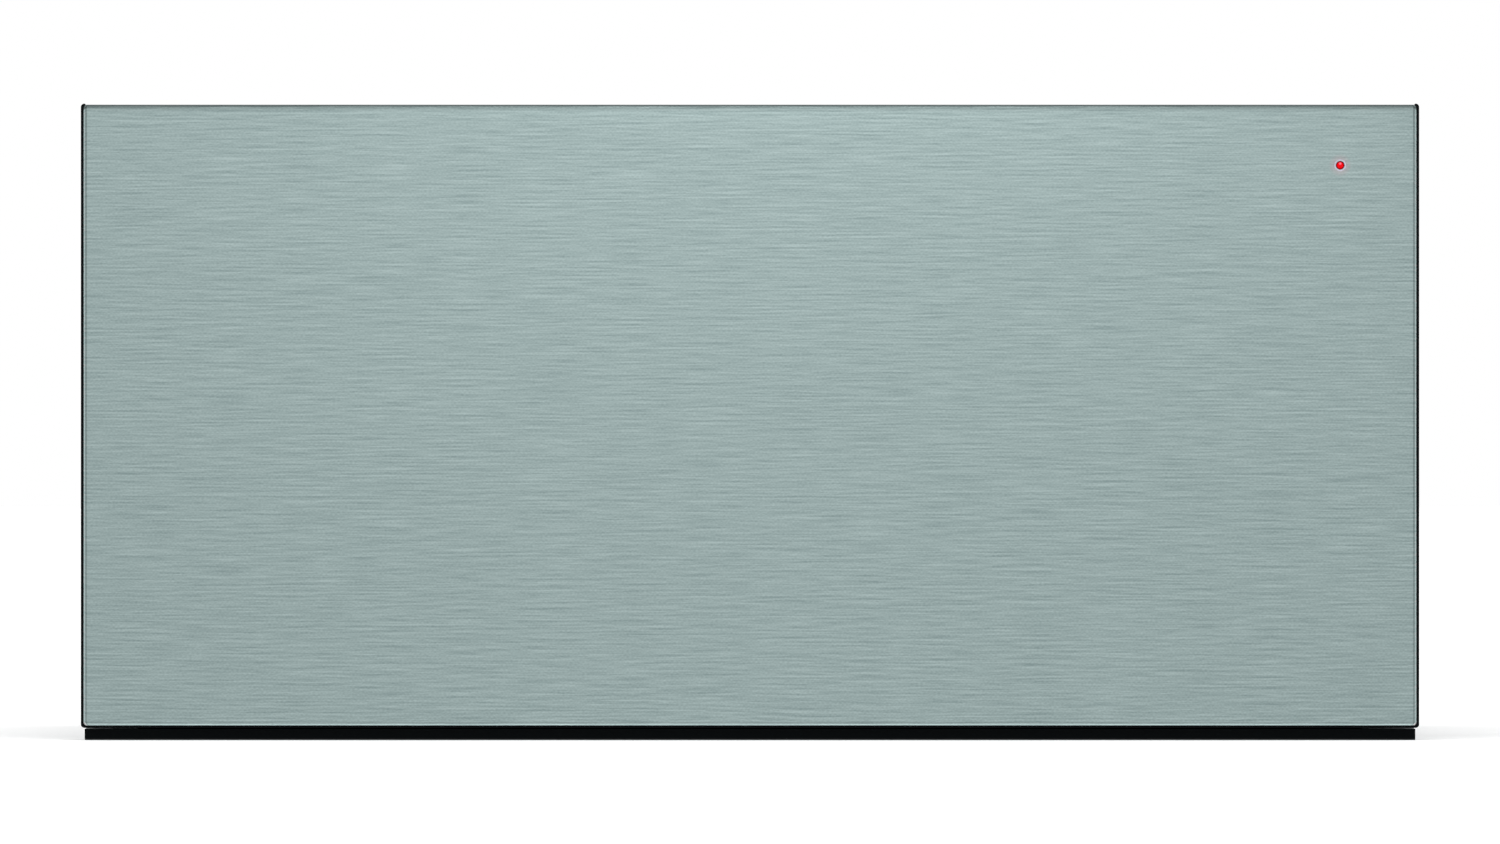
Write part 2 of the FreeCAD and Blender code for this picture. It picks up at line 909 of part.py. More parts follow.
def inner_cages():
    u0 = 2 * rail_sheet + rail_web_gap + rail_floor_gap
    u1 = rail_thickness - rail_sheet - rail_end_gap
    return ball_cages((u0 + u1) / 2, inner_half() + ball_room() / 2)


# Drawer box


def outer_panel():
    wall = box(half_pan, half_drawer, y_front_back, y_box_end, pan_height, rim_under)
    x_flange = half_liner + panel_flange_gap
    flange = box(x_flange, half_pan, y_front_back, y_liner_in, floor_top, rim_under)
    holes = [rod_x(hole_radius, half_pan, half_drawer, y, z) for y, z in rail_screw_places()]
    return join([wall, flange]).cut(holes)


def liner_wall():
    wall = box(half_cavity, half_liner, y_liner_in, y_grille, floor_top, rim_height)
    lip = box(half_liner, half_drawer, y_liner_in, y_grille, rim_under, rim_height)
    return join([wall, lip])


def liner_front():
    plate = box(-half_liner, half_liner, y_front_back, y_liner_in, floor_top, rim_height)
    return plate.cut(front_holes(y_front_back, y_liner_in, hole_radius))


def floor_slots():
    y_near = y_liner_in + mat_margin + floor_slot_from_edge / 2
    return [(x, y_near) for x in evenly(floor_slot_count, floor_slot_pitch)]


def drawer_floor():
    low, high = floor_under, floor_top
    plate = box(-half_pan, half_pan, y_front_back, y_grille, low, high)
    return plate.cut([slot_z(floor_slot_length, floor_slot_width, low, high, x, y) for x, y in floor_slots()])


def grip_mat():
    half = half_cavity - mat_margin
    y0 = y_liner_in + mat_margin + floor_slot_from_edge + floor_slot_width
    y1 = y_grille - mat_margin
    mat = box(-half, half, y0, y1, floor_top, floor_top + mat_sheet)
    upright = []
    for edge in mat.Edges:
        ends = [vertex.Point for vertex in edge.Vertexes]
        if abs(ends[1].z - ends[0].z) > mat_sheet / 2:
            upright.append(edge)
    return mat.makeFillet(mat_corner, upright)


def bottom_pan():
    plate = box(-half_pan, half_pan, y_front_back, y_duct_back, pan_height, pan_height + sheet)
    pieces = [plate]
    for side in (-1, 1):
        x0, x1 = sorted((side * half_pan, side * (half_pan - sheet)))
        pieces.append(box(x0, x1, y_front_back, y_grille, pan_height, floor_under))
    pieces.append(box(-half_pan, half_pan, y_front_back, y_front_back + sheet, pan_height, floor_under))
    return join(pieces)


def grille_slots():
    # Rows of slots that fill a circle before the fan.
    rows = []
    for rise in evenly(grille_rows, grille_pitch):
        half = math.sqrt(max(fan_radius ** 2 - rise ** 2, grille_pitch ** 2))
        rows.append((2 * half, fan_height + rise))
    return rows


def rear_grille():
    plate = box(-half_pan, half_pan, y_grille, y_duct, floor_under, rim_under)
    cuts = []
    for length, z in grille_slots():
        part = length / 2 - grille_width
        for side in (-1, 1):
            cuts.append(slot_y(part, grille_width, y_grille, y_duct, side * length / 4, z))
    return plate.cut(cuts)


def rear_duct():
    # One folded sheet: the back of the air duct and its lid.
    plate = box(-half_pan, half_pan, y_duct_back, y_box_end, pan_height, rim_under)
    z = fan_height
    holes = [rod_y(shaft_hole, y_duct_back, y_box_end, 0, z)]
    holes += [rod_y(hole_radius, y_duct_back, y_box_end, x, z) for x, z in motor_screw_places()]
    hole_r = heater_radius + fit_gap
    holes += [rod_y(hole_r, y_duct_back, y_box_end, x, heater_z()) for x in heater_ends()]
    probe_r = probe_radius + fit_gap
    holes.append(rod_y(probe_r, y_duct_back, y_box_end, probe_x, rim_height - probe_from_rim))
    holes.append(rod_y(gland_bore, y_duct_back, y_box_end, -gland_x, gland_height))
    lid = box(-half_drawer, half_drawer, y_grille, y_box_end, rim_under, rim_height)
    return join([plate.cut(holes), lid])


def drawer_screws():
    screws = []
    through = sheet + rail_sheet + screw_bite
    for side in (-1, 1):
        x = side * half_pan
        screws += [pan_screw(V(x, y, z), V(side, 0, 0), through) for y, z in rail_screw_places()]
    forward = 3 * sheet + screw_bite
    screws += [pan_screw(V(x, y_liner_in, z), V(0, -1, 0), forward) for x, z in front_screw_places()]
    y_seat = y_box_end + motor_flange
    deep = motor_flange + sheet + screw_bite
    screws += [pan_screw(V(x, y_seat, z), V(0, -1, 0), deep) for x, z in motor_screw_places()]
    return Part.makeCompound(screws)


# Fan


def motor_screw_places():
    reach = (motor_radius + motor_flange_radius) / 2
    turns = [math.radians(90 + 120 * i) for i in range(3)]
    return [(reach * math.cos(a), fan_height + reach * math.sin(a)) for a in turns]


def fan_wheel():
    y0 = y_duct + fan_front_gap
    y1 = y0 + fan_width
    z = fan_height
    disc = rod_y(fan_radius, y1 - fan_disc, y1, 0, z)
    hub = rod_y(hub_radius, y1 - fan_disc - hub_length, y1 - fan_disc, 0, z)
    ring = rod_y(fan_radius, y0, y0 + fan_disc, 0, z)
    ring = ring.cut(rod_y(fan_radius - fan_blade_length / 2, y0, y0 + fan_disc, 0, z))
    blades = []
    for i in range(fan_blades):
        inner = fan_radius - fan_blade_length
        half = fan_blade_sheet / 2
        outer = fan_radius - fan_disc
        blade = box(inner, outer, y0 + fan_disc / 2, y1 - fan_disc / 2, -half, half)
        middle = V((inner + outer) / 2, 0, 0)
        blade.rotate(middle, V(0, 1, 0), 30)
        blade.rotate(V(0, 0, 0), V(0, 1, 0), 360 * i / fan_blades)
        blade.translate(V(0, 0, z))
        blades.append(blade)
    bore = rod_y(shaft_radius + shaft_fit, y0, y1, 0, z)
    return join([disc, hub, ring] + blades).cut(bore)


def shaft_start():
    return y_duct + fan_front_gap + fan_width - fan_disc - hub_length


def fan_shaft():
    return rod_y(shaft_radius, shaft_start(), y_box_end + motor_bearing, 0, fan_height)


def fan_motor():
    y0 = y_box_end
    y1 = y0 + motor_flange
    y2 = y0 + motor_length
    z = fan_height
    flange = rod_y(motor_flange_radius, y0, y1, 0, z)
    can = rod_y(motor_radius, y1, y2, 0, z)
    can = can.makeFillet(motor_flange, edges_at_y(can, y2))
    boss = rod_y(hub_radius, y2 - motor_flange, y2 + motor_flange, 0, z)
    bore = rod_y(shaft_radius + shaft_fit, y0, y0 + motor_bearing + fit_gap, 0, z)
    holes = [rod_y(hole_radius, y0, y1, x, h) for x, h in motor_screw_places()]
    return join([flange, can, boss]).cut([bore] + holes)


# Heating


def heater_z():
    return pan_height + sheet + heater_rise


def heater_lines():
    return evenly(heater_runs, heater_pitch)


def heater_ends():
    lines = heater_lines()
    return lines[0], lines[-1]


def heating_element():
    z = heater_z()
    bend = heater_pitch / 2
    y_near = y_liner_in + heater_front_gap + bend
    y_far = y_grille - heater_rear_gap - bend
    y_tail = y_box_end + heater_tail
    lines = heater_lines()
    edges = []
    forward = True
    for i, x in enumerate(lines):
        y_in = y_tail if i in (0, len(lines) - 1) else y_far
        y_start, y_stop = (y_in, y_near) if forward else (y_near, y_in)
        edges.append(Part.makeLine(V(x, y_start, z), V(x, y_stop, z)))
        if i < len(lines) - 1:
            way = -1 if forward else 1
            crown = V(x + bend, y_stop + way * bend, z)
            edges.append(Part.Arc(V(x, y_stop, z), crown, V(x + heater_pitch, y_stop, z)).toShape())
        forward = not forward
    path = Part.Wire(edges)
    ring = Part.Wire(Part.makeCircle(heater_radius, V(lines[0], y_tail, z), V(0, -1, 0)))
    return path.makePipeShell([ring], True, False)


def heater_bushes():
    pieces = []
    for x in heater_ends():
        body = rod_y(bush_radius, y_box_end, y_box_end + bush_length, x, heater_z())
        bore = rod_y(heater_radius + fit_gap / 2, y_box_end, y_box_end + bush_length, x, heater_z())
        pieces.append(body.cut(bore))
    return Part.makeCompound(pieces)


def heater_brackets():
    # Hat-shaped carriers across the pan, just under the element.
    low = pan_height + sheet
    high = heater_z() - heater_radius - fit_gap / 2
    half = heater_ends()[1] + bracket_overhang
    span = y_grille - y_liner_in
    pieces = []
    for share in (1 / 3, 2 / 3):
        y = y_liner_in + share * span
        y0, y1 = y - bracket_width / 2, y + bracket_width / 2
        top = box(-half, half, y0, y1, high - sheet, high)
        front = box(-half, half, y0, y0 + sheet, low, high)
        back = box(-half, half, y1 - sheet, y1, low, high)
        foot_front = box(-half, half, y0 - bracket_width / 2, y0, low, low + sheet)
        foot_back = box(-half, half, y1, y1 + bracket_width / 2, low, low + sheet)
        pieces.append(join([top, front, back, foot_front, foot_back]))
    return Part.makeCompound(pieces)


def temperature_probe():
    z = rim_height - probe_from_rim
    head = rod_y(probe_head_radius, y_box_end, y_box_end + probe_head, probe_x, z)
    return join([head, rod_y(probe_radius, y_box_end - probe_length, y_box_end, probe_x, z)])


def safety_cutout():
    z = pan_height + cutout_lift
    rise = cutout_radius + cutout_ear / 2
    reach = cutout_radius + cutout_ear
    y0 = y_box_end
    y1 = y0 + cutout_height
    plate = box(cutout_x - reach, cutout_x + reach, y0, y0 + cutout_plate, z - rise, z + rise)
    plate = plate.makeFillet(cutout_plate, edges_along_y(plate))
    can = rod_y(cutout_radius, y0 + cutout_plate, y1, cutout_x, z)
    tags = []
    for side in (-1, 1):
        x = cutout_x + side * cutout_radius / 2
        y2 = y1 + cutout_tag
        tags.append(box(x - cutout_tag / 2, x + cutout_tag / 2, y1, y2, z - sheet / 2, z + sheet / 2))
    return join([plate, can] + tags)


# Push latch


def latch_front():
    return y_back_in - latch_length


def latch_bore():
    return plunger_radius + plunger_fit


def latch_housing():
    half = latch_width / 2
    low, high = latch_lift - latch_body_height / 2, latch_lift + latch_body_height / 2
    body = box(-half, half, latch_front(), y_back_in, low, high)
    body = body.makeFillet(2 * sheet, edges_along_y(body))
    return body.cut(rod_y(latch_bore(), latch_front(), y_back_in - latch_wall, 0, latch_lift))


def striker_back():
    return y_box_end + striker_sheet


def striker_plate():
    half = striker_width / 2
    low, high = latch_lift - striker_height / 2, latch_lift + striker_height / 2
    plate = box(-half, half, y_box_end, striker_back(), low, high)
    return plate.makeFillet(striker_sheet, edges_along_y(plate))


def latch_magnet():
    y0 = striker_back() + magnet_gap
    return rod_y(magnet_radius, y0, y0 + magnet_length, 0, latch_lift)


def latch_plunger():
    y0 = striker_back() + magnet_gap + magnet_length
    return rod_y(plunger_radius, y0, latch_front() + plunger_hold, 0, latch_lift)


# Wound forms


def biarc(p0, t0, p1, t1):
    # Two arcs that leave p0 along t0 and reach p1 along t1.
    across = p1 - p0
    both = t0 + t1
    lead = across.dot(both)
    bend = 2 * (1 - t0.dot(t1))
    reach = (-lead + math.sqrt(lead * lead + bend * across.dot(across))) / bend
    near = p0 + t0 * reach
    far = p1 - t1 * reach
    meet = (near + far) * 0.5
    return [arc_from(p0, near, meet), arc_from(meet, far, p1)]


def arc_from(start, apex, stop):
    middle = (start + stop) * 0.5
    chord = (stop - start).normalize()
    side = (apex - start).normalize()
    turn = math.acos(max(-1, min(1, chord.dot(side))))
    crown = middle + (apex - middle) * (math.tan(turn / 2) / math.tan(turn))
    return Part.Arc(start, crown, stop).toShape()


def curl_point(radius, pitch, turn, y0, x, z):
    # A point of a curl about a line along Y, and the direction there. Turn 0 is straight up.
    a = 2 * math.pi * turn
    point = V(x - radius * math.sin(a), y0 + pitch * turn, z + radius * math.cos(a))
    along = V(-2 * math.pi * radius * math.cos(a), pitch, -2 * math.pi * radius * math.sin(a))
    return point, along.normalize()


def curl_edges(radius, pitch, turns, y0, x, z):
    edges = []
    steps = 4 * turns
    for i in range(steps):
        p0, t0 = curl_point(radius, pitch, i / 4, y0, x, z)
        p1, t1 = curl_point(radius, pitch, (i + 1) / 4, y0, x, z)
        edges += biarc(p0, t0, p1, t1)
    return edges


def tube(edges, radius, start, along):
    ring = Part.Wire(Part.makeCircle(radius, start, along))
    return Part.Wire(edges).makePipeShell([ring], True, False)


def least_gap(edges, radius, apart):
    # The smallest distance between two stretches of one tube that lie apart along its length.
    points = []
    run = 0
    for edge in edges:
        count = max(2, int(edge.Length / radius) + 1)
        for point in edge.discretize(count)[1:]:
            run += edge.Length / (count - 1)
            points.append((run, point))
    gaps = []
    for i, (s, a) in enumerate(points):
        gaps += [(b - a).Length for t, b in points[i + 1:] if t - s > apart]
    return min(gaps) - 2 * radius


def latch_spring():
    radius = latch_bore() - spring_side_gap - spring_wire / 2
    y_start = latch_front() + plunger_hold + spring_end_gap + spring_wire / 2
    y_end = y_back_in - latch_wall - spring_end_gap - spring_wire / 2
    pitch = (y_end - y_start) / spring_turns
    edges = curl_edges(radius, pitch, spring_turns, y_start, 0, latch_lift)
    start, along = curl_point(radius, pitch, 0, y_start, 0, latch_lift)
    print("latch spring, least gap to itself:", round(least_gap(edges, spring_wire / 2, 2 * radius), 2))
    return tube(edges, spring_wire / 2, start, along)


# Supply entry, trunking and glands


def gland(y_foot, way):
    # A short cable gland that stands on a wall and points along Y.
    y_tip = y_foot + way * gland_length
    y0, y1 = sorted((y_foot, y_tip))
    body = rod_y(gland_radius, y0, y1, -gland_x, gland_height)
    body = body.makeChamfer(sheet, edges_at_y(body, y_tip))
    return body.cut(rod_y(gland_bore, y0, y1, -gland_x, gland_height))


def cover_low_x():
    return terminal_x - terminal_width / 2 - cover_room - cover_wall


def trunk_middle():
    # The trunking passes over the latch.
    return latch_lift + (latch_body_height + trunk_height) / 2 + trunk_gap


def trunk_front():
    return y_back_in - trunk_depth


def wire_trunking():
    # A channel on the back panel, from the terminal cover up to the chassis gland.
    half = trunk_height / 2
    w = trunk_wall
    x0, x1 = -gland_x - half, -gland_x + half
    x2 = cover_low_x()
    z0, z1 = trunk_middle() - half, trunk_middle() + half
    z2 = gland_height + half
    y0 = trunk_front()
    outside = [box(x0, x2, y0, y_back_in, z0, z1), box(x0, x1, y0, y_back_in, z0, z2)]
    hollow = [box(x0 + w, x2, y0 + w, y_back_in, z0 + w, z1 - w)]
    hollow.append(box(x0 + w, x1 - w, y0 + w, y_back_in, z0 + w, z2 - w))
    hollow.append(rod_y(gland_bore, y0, y0 + w, -gland_x, gland_height))
    return join(outside).cut(hollow)


def terminal_block():
    half = terminal_width / 2
    y1 = y_back_in - terminal_from_back
    y0 = y1 - terminal_depth
    block = box(terminal_x - half, terminal_x + half, y0, y1, sheet, sheet + terminal_height)
    places = [terminal_x + shift for shift in evenly(3, terminal_width / 3)]
    top = sheet + terminal_height
    y = (y0 + y1) / 2
    return block.cut([rod_z(screw_head_radius, top - terminal_height / 2, top, x, y) for x in places])


def terminal_screws():
    y = y_back_in - terminal_from_back - terminal_depth / 2
    low = sheet + terminal_height / 2
    places = [terminal_x + shift for shift in evenly(3, terminal_width / 3)]
    height = terminal_height / 4
    radius = screw_head_radius - fit_gap
    pieces = []
    for x in places:
        head = rod_z(radius, low, low + height, x, y)
        notch = box(x - radius, x + radius, y - sheet / 2, y + sheet / 2, low + height / 2, low + height)
        pieces.append(head.cut(notch))
    return Part.makeCompound(pieces)


def terminal_cover():
    half = terminal_width / 2 + cover_room
    w = cover_wall
    y0 = y_back_in - cover_depth
    top = trunk_middle() + trunk_height / 2 + cover_headroom
    shell = box(terminal_x - half - w, terminal_x + half + w, y0, y_back_in, sheet, top)
    hollow = box(terminal_x - half, terminal_x + half, y0 + w, y_back_in, sheet, top - w)
    z = trunk_middle()
    reach = trunk_height / 2 - trunk_wall
    x0 = terminal_x - half - w
    way = box(x0, x0 + w, trunk_front() + trunk_wall, y_back_in, z - reach, z + reach)
    return shell.cut([hollow, way])


def mains_entry():
    y1 = y_back_out + entry_outside
    y0 = y_back_in - entry_inside
    collar = rod_y(entry_flange_radius, y_back_out, y1, terminal_x, entry_height)
    collar = collar.makeChamfer(2 * sheet, edges_at_y(collar, y1))
    neck = rod_y(entry_neck_radius, y0, y_back_out, terminal_x, entry_height)
    return join([collar, neck]).cut(rod_y(entry_radius, y0, y1, terminal_x, entry_height))


def mains_entry_nut():
    y0 = y_back_in - entry_inside / 2
    nut = rod_y(entry_flange_radius, y0, y_back_in, terminal_x, entry_height)
    flats = []
    half = entry_flange_radius
    for i in range(6):
        flat = box(half * math.cos(math.pi / 9), 2 * half, y0, y_back_in, -half, half)
        flat.rotate(V(0, 0, 0), V(0, 1, 0), 60 * i)
        flat.translate(V(terminal_x, 0, entry_height))
        flats.append(flat)
    bore = rod_y(entry_neck_radius + fit_gap / 2, y0, y_back_in, terminal_x, entry_height)
    return nut.cut(flats + [bore])


def all_nodes():
    keys = key_places()
    right_panel = side_panel()
    right_outer = outer_rail()
    right_mid = mid_rail()
    right_inner = inner_rail()
    right_wall = outer_panel()
    right_liner = liner_wall()
    return {
        "front_skin": front_skin(),
        "front_carrier": front_carrier(),
        "front_inner_panel": front_inner_panel(),
        "front_stiffeners": front_stiffeners(),
        "indicator_lens": indicator_lens(),
        "indicator_holder": indicator_holder(),
        "indicator_board": indicator_board(),
        "control_housing": control_housing(),
        "control_board": control_board(),
        "level_lights": level_lights(),
        "temperature_key": key(keys[0]),
        "timer_key": key(keys[1]),
        "power_key": key(keys[2]),
        "bottom_trim": bottom_trim(),
        "base_plate": base_plate(),
        "top_plate": top_plate(),
        "right_side_panel": right_panel,
        "left_side_panel": flip_x(right_panel),
        "back_panel": back_panel(),
        "front_bumpers": front_bumpers(),
        "chassis_screws": chassis_screws(),
        "right_outer_rail": right_outer,
        "left_outer_rail": flip_x(right_outer),
        "mid_rails": Part.makeCompound([right_mid, flip_x(right_mid)]),
        "right_inner_rail": right_inner,
        "left_inner_rail": flip_x(right_inner),
        "outer_ball_cages": outer_cages(),
        "inner_ball_cages": inner_cages(),
        "right_outer_wall": right_wall,
        "left_outer_wall": flip_x(right_wall),
        "right_liner": right_liner,
        "left_liner": flip_x(right_liner),
        "liner_front": liner_front(),
        "drawer_floor": drawer_floor(),
        "grip_mat": grip_mat(),
        "bottom_pan": bottom_pan(),
        "rear_grille": rear_grille(),
        "rear_duct": rear_duct(),
        "drawer_screws": drawer_screws(),
        "fan_wheel": fan_wheel(),
        "fan_shaft": fan_shaft(),
        "fan_motor": fan_motor(),
        "heating_element": heating_element(),
        "heater_bushes": heater_bushes(),
        "heater_brackets": heater_brackets(),
        "temperature_probe": temperature_probe(),
        "safety_cutout": safety_cutout(),
        "latch_housing": latch_housing(),
        "latch_spring": latch_spring(),
        "latch_plunger": latch_plunger(),
        "latch_magnet": latch_magnet(),
        "striker_plate": striker_plate(),
        "drawer_gland": gland(y_box_end, 1),
        "chassis_gland": gland(trunk_front(), -1),
        "wire_trunking": wire_trunking(),
        "terminal_block": terminal_block(),
        "terminal_cover": terminal_cover(),
        "terminal_screws": terminal_screws(),
        "mains_entry": Part.makeCompound([mains_entry(), mains_entry_nut()]),
    }


os.makedirs("parts", exist_ok=True)
for name, shape in all_nodes().items():
    shape.exportStep("parts/" + name + ".step")
    print(name, len(shape.Solids), round(shape.Volume), shape.isValid())
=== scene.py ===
import math

import bmesh
import bpy
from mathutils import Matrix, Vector


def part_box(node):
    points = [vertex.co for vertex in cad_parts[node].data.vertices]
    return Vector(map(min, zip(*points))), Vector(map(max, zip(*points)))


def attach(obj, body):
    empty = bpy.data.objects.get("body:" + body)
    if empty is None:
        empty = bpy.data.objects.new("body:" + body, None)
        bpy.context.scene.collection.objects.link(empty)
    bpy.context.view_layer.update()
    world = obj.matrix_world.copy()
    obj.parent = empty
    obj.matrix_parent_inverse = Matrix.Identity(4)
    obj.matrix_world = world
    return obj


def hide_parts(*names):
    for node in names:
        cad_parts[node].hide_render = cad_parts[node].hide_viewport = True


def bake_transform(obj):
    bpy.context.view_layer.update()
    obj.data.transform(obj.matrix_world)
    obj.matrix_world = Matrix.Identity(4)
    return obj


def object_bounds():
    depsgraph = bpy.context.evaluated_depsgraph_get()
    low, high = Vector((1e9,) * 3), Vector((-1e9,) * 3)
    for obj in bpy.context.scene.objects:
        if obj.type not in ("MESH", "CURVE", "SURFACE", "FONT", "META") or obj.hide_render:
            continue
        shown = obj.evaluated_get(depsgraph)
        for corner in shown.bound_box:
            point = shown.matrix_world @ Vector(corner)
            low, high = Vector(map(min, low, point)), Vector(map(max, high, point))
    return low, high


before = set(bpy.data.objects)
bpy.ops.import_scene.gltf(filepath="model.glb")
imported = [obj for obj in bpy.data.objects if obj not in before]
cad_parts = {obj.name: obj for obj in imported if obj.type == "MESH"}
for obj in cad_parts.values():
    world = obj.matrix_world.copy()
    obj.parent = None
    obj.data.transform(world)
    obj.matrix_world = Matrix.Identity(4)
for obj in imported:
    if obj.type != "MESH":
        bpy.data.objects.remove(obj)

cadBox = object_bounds()  # the box round the imported CAD pieces; the box that the dressed drawer has to stay in
scene = bpy.context.scene


def mm(value):
    return value / 1000  # sizes are written in millimetres, the scene is in metres


def spot(x, y, z):
    return Vector((x, y, z)) / 1000  # a place given in millimetres


def perMm(size):
    return 1000 / size  # pattern scale for a feature of that many millimetres


def linear(code):
    # sRGB hex to the linear values that shaders take
    parts = [int(code[i:i + 2], 16) / 255 for i in (1, 3, 5)]
    return [c / 12.92 if c <= 0.04045 else ((c + 0.055) / 1.055) ** 2.4 for c in parts] + [1]


def addNode(tree, kind, settings=None, links=None):
    node = tree.nodes.new(kind)
    for key, value in (settings or {}).items():
        if key == "stops":  # colour ramp: pairs of place and hex, or place and brightness
            ramp = node.color_ramp.elements
            while len(ramp) < len(value):
                ramp.new(1)
            for stop, (place, code) in zip(ramp, value):
                stop.position = place
                stop.color = linear(code) if isinstance(code, str) else (code, code, code, 1)
        elif key in node.bl_rna.properties.keys():
            setattr(node, key, value)
        else:
            node.inputs[key].default_value = value
    for key, source in (links or {}).items():
        tree.links.new(source, node.inputs[key])
    return node


def startFinish(name):
    # an empty material, and coordinates that stay still on the piece
    finish = bpy.data.materials.new(name)
    finish.use_nodes = True
    tree = finish.node_tree
    tree.nodes.clear()
    place = addNode(tree, "ShaderNodeTexCoord").outputs["Object"]
    return finish, tree, place


def endFinish(tree, sockets, links):
    shader = addNode(tree, "ShaderNodeBsdfPrincipled", sockets, links)
    addNode(tree, "ShaderNodeOutputMaterial", None, {"Surface": shader.outputs[0]})


grainRange = (0.3, 0.7)  # the part of a noise that colour and gloss are spread over


def grainedFinish(name, colours, grain, gloss, relief=0.0, sockets=None):
    # one noise drives colour, roughness within gloss, and a relief that many mm deep;
    # grain is the noise's size in mm along X, Y and Z
    finish, tree, place = startFinish(name)
    sized = addNode(tree, "ShaderNodeMapping", {"Scale": [perMm(size) for size in grain]}, {"Vector": place})
    noise = addNode(tree, "ShaderNodeTexNoise", {"Scale": 1, "Detail": 5, "Roughness": 0.6},
                    {"Vector": sized.outputs[0]}).outputs[0]
    low, high = grainRange
    step = (high - low) / (len(colours) - 1)
    stops = [(low + i * step, code) for i, code in enumerate(colours)]
    colour = addNode(tree, "ShaderNodeValToRGB", {"stops": stops}, {"Fac": noise})
    rough = addNode(tree, "ShaderNodeMapRange",
                    {"From Min": low, "From Max": high, "To Min": gloss[0], "To Max": gloss[1]},
                    {"Value": noise})
    links = {"Base Color": colour.outputs[0], "Roughness": rough.outputs[0]}
    if relief:
        bump = addNode(tree, "ShaderNodeBump", {"Distance": mm(relief)}, {"Height": noise})
        links["Normal"] = bump.outputs[0]
    endFinish(tree, sockets, links)
    return finish


# Camera: straight at the front from far off, as the picture is taken
view = {
    "lens": 600,
    "sensor": 36,
    "frameWidth": 667.9,  # what the picture takes in at the front, mm
    "eyeHeight": 141.69,
    "clipEnd": 200,
}


def setCamera():
    data = bpy.data.cameras.new("camera")
    data.lens = view["lens"]
    data.sensor_width = view["sensor"]
    data.clip_end = view["clipEnd"]
    distance = view["frameWidth"] * view["lens"] / view["sensor"]
    camera = bpy.data.objects.new("camera", data)
    camera.location = (0, cadBox[0].y - mm(distance), mm(view["eyeHeight"]))
    camera.rotation_euler = (math.radians(90), 0, 0)
    scene.collection.objects.link(camera)
    scene.camera = camera
    scene.view_settings.view_transform = "Standard"


setCamera()
print("camera set")

# Studio: white sweep, one soft box above the front, a dim room behind the camera
studio = {
    "roomFront": 0.645,  # what the steel front mirrors
    "roomBack": 1.05,
    "roomTop": 1.15,
    "roomSide": 0.48,  # share left of it far to the left and right
    # where the light changes over, as the share of the look that goes back, up or aside
    "frontFade": (-0.6, 0.4),
    "topFade": (0.35, 0.95),
    "sideFade": (0.5, 1.0),
    "boxSize": (0.6, 0.6),
    "boxPlace": (0, -1350, 1500),
    "boxTarget": (0, -200, 140),
    "boxPower": 10,
    "floorReach": 30,
    "floorDrop": 0.1,  # mm under the base, so that the two don't share a plane
    "floorLift": 0.19,  # light from under the paper, so that no shadow greys it
}


def hangSoftBox():
    lamp = bpy.data.lights.new("softBox", "AREA")
    lamp.shape = "RECTANGLE"
    lamp.size, lamp.size_y = studio["boxSize"]
    lamp.energy = studio["boxPower"]
    holder = bpy.data.objects.new("softBox", lamp)
    place, target = spot(*studio["boxPlace"]), spot(*studio["boxTarget"])
    holder.location = place
    holder.rotation_euler = (target - place).to_track_quat("-Z", "Y").to_euler()
    scene.collection.objects.link(holder)


def lightRoom():
    world = bpy.data.worlds.new("softStudio")
    scene.world = world
    world.use_nodes = True
    tree = world.node_tree
    tree.nodes.clear()
    way = addNode(tree, "ShaderNodeTexCoord").outputs["Generated"]
    axes = addNode(tree, "ShaderNodeSeparateXYZ", None, {0: way}).outputs
    aside = addNode(tree, "ShaderNodeMath", {"operation": "ABSOLUTE"}, {0: axes[0]}).outputs[0]
    fades = []
    for source, span, start, stop in ((axes[1], "frontFade", studio["roomFront"], studio["roomBack"]),
                                      (axes[2], "topFade", 0.0, 1.0),
                                      (aside, "sideFade", 1.0, studio["roomSide"])):
        low, high = studio[span]
        fade = addNode(tree, "ShaderNodeMapRange",
                       {"interpolation_type": "SMOOTHSTEP", "From Min": low, "From Max": high,
                        "To Min": start, "To Max": stop}, {"Value": source})
        fades.append(fade.outputs[0])
    depth, height, walls = fades
    level = addNode(tree, "ShaderNodeMath", {"operation": "MULTIPLY"}, {0: depth, 1: walls}).outputs[0]
    room = addNode(tree, "ShaderNodeMix", {3: studio["roomTop"]}, {0: height, 2: level}).outputs[0]
    white = linear("#FFFFFF")
    lit = addNode(tree, "ShaderNodeBackground", {"Color": white}, {"Strength": room})
    backdrop = addNode(tree, "ShaderNodeBackground", {"Color": white, "Strength": 1.0})
    seen = addNode(tree, "ShaderNodeLightPath").outputs["Is Camera Ray"]
    sky = addNode(tree, "ShaderNodeMixShader", None, {0: seen, 1: lit.outputs[0], 2: backdrop.outputs[0]})
    addNode(tree, "ShaderNodeOutputWorld", None, {"Surface": sky.outputs[0]})


def layFloor():
    # seamless studio paper: matt, almost white, with the faint clouding of the pulp
    paper = grainedFinish("seamlessPaper", ("#F6F6F5", "#FAFAFA", "#FDFDFD"), (90, 90, 90), (0.85, 0.95),
                          sockets={"Specular IOR Level": 0.1, "Emission Color": linear("#FFFFFF"),
                                   "Emission Strength": studio["floorLift"]})
    reach, z = studio["floorReach"], -mm(studio["floorDrop"])
    corners = ((-reach, -reach, z), (reach, -reach, z), (reach, reach, z), (-reach, reach, z))
    shape = bmesh.new()
    shape.faces.new([shape.verts.new(corner) for corner in corners])
    mesh = bpy.data.meshes.new("floor")
    shape.to_mesh(mesh)
    shape.free()
    mesh.materials.append(paper)
    floor = bpy.data.objects.new("floor", mesh)
    floor.visible_glossy = False  # keeps the paper's edge out of the steel
    scene.collection.objects.link(floor)


hangSoftBox()
lightRoom()
layFloor()
print("studio set")

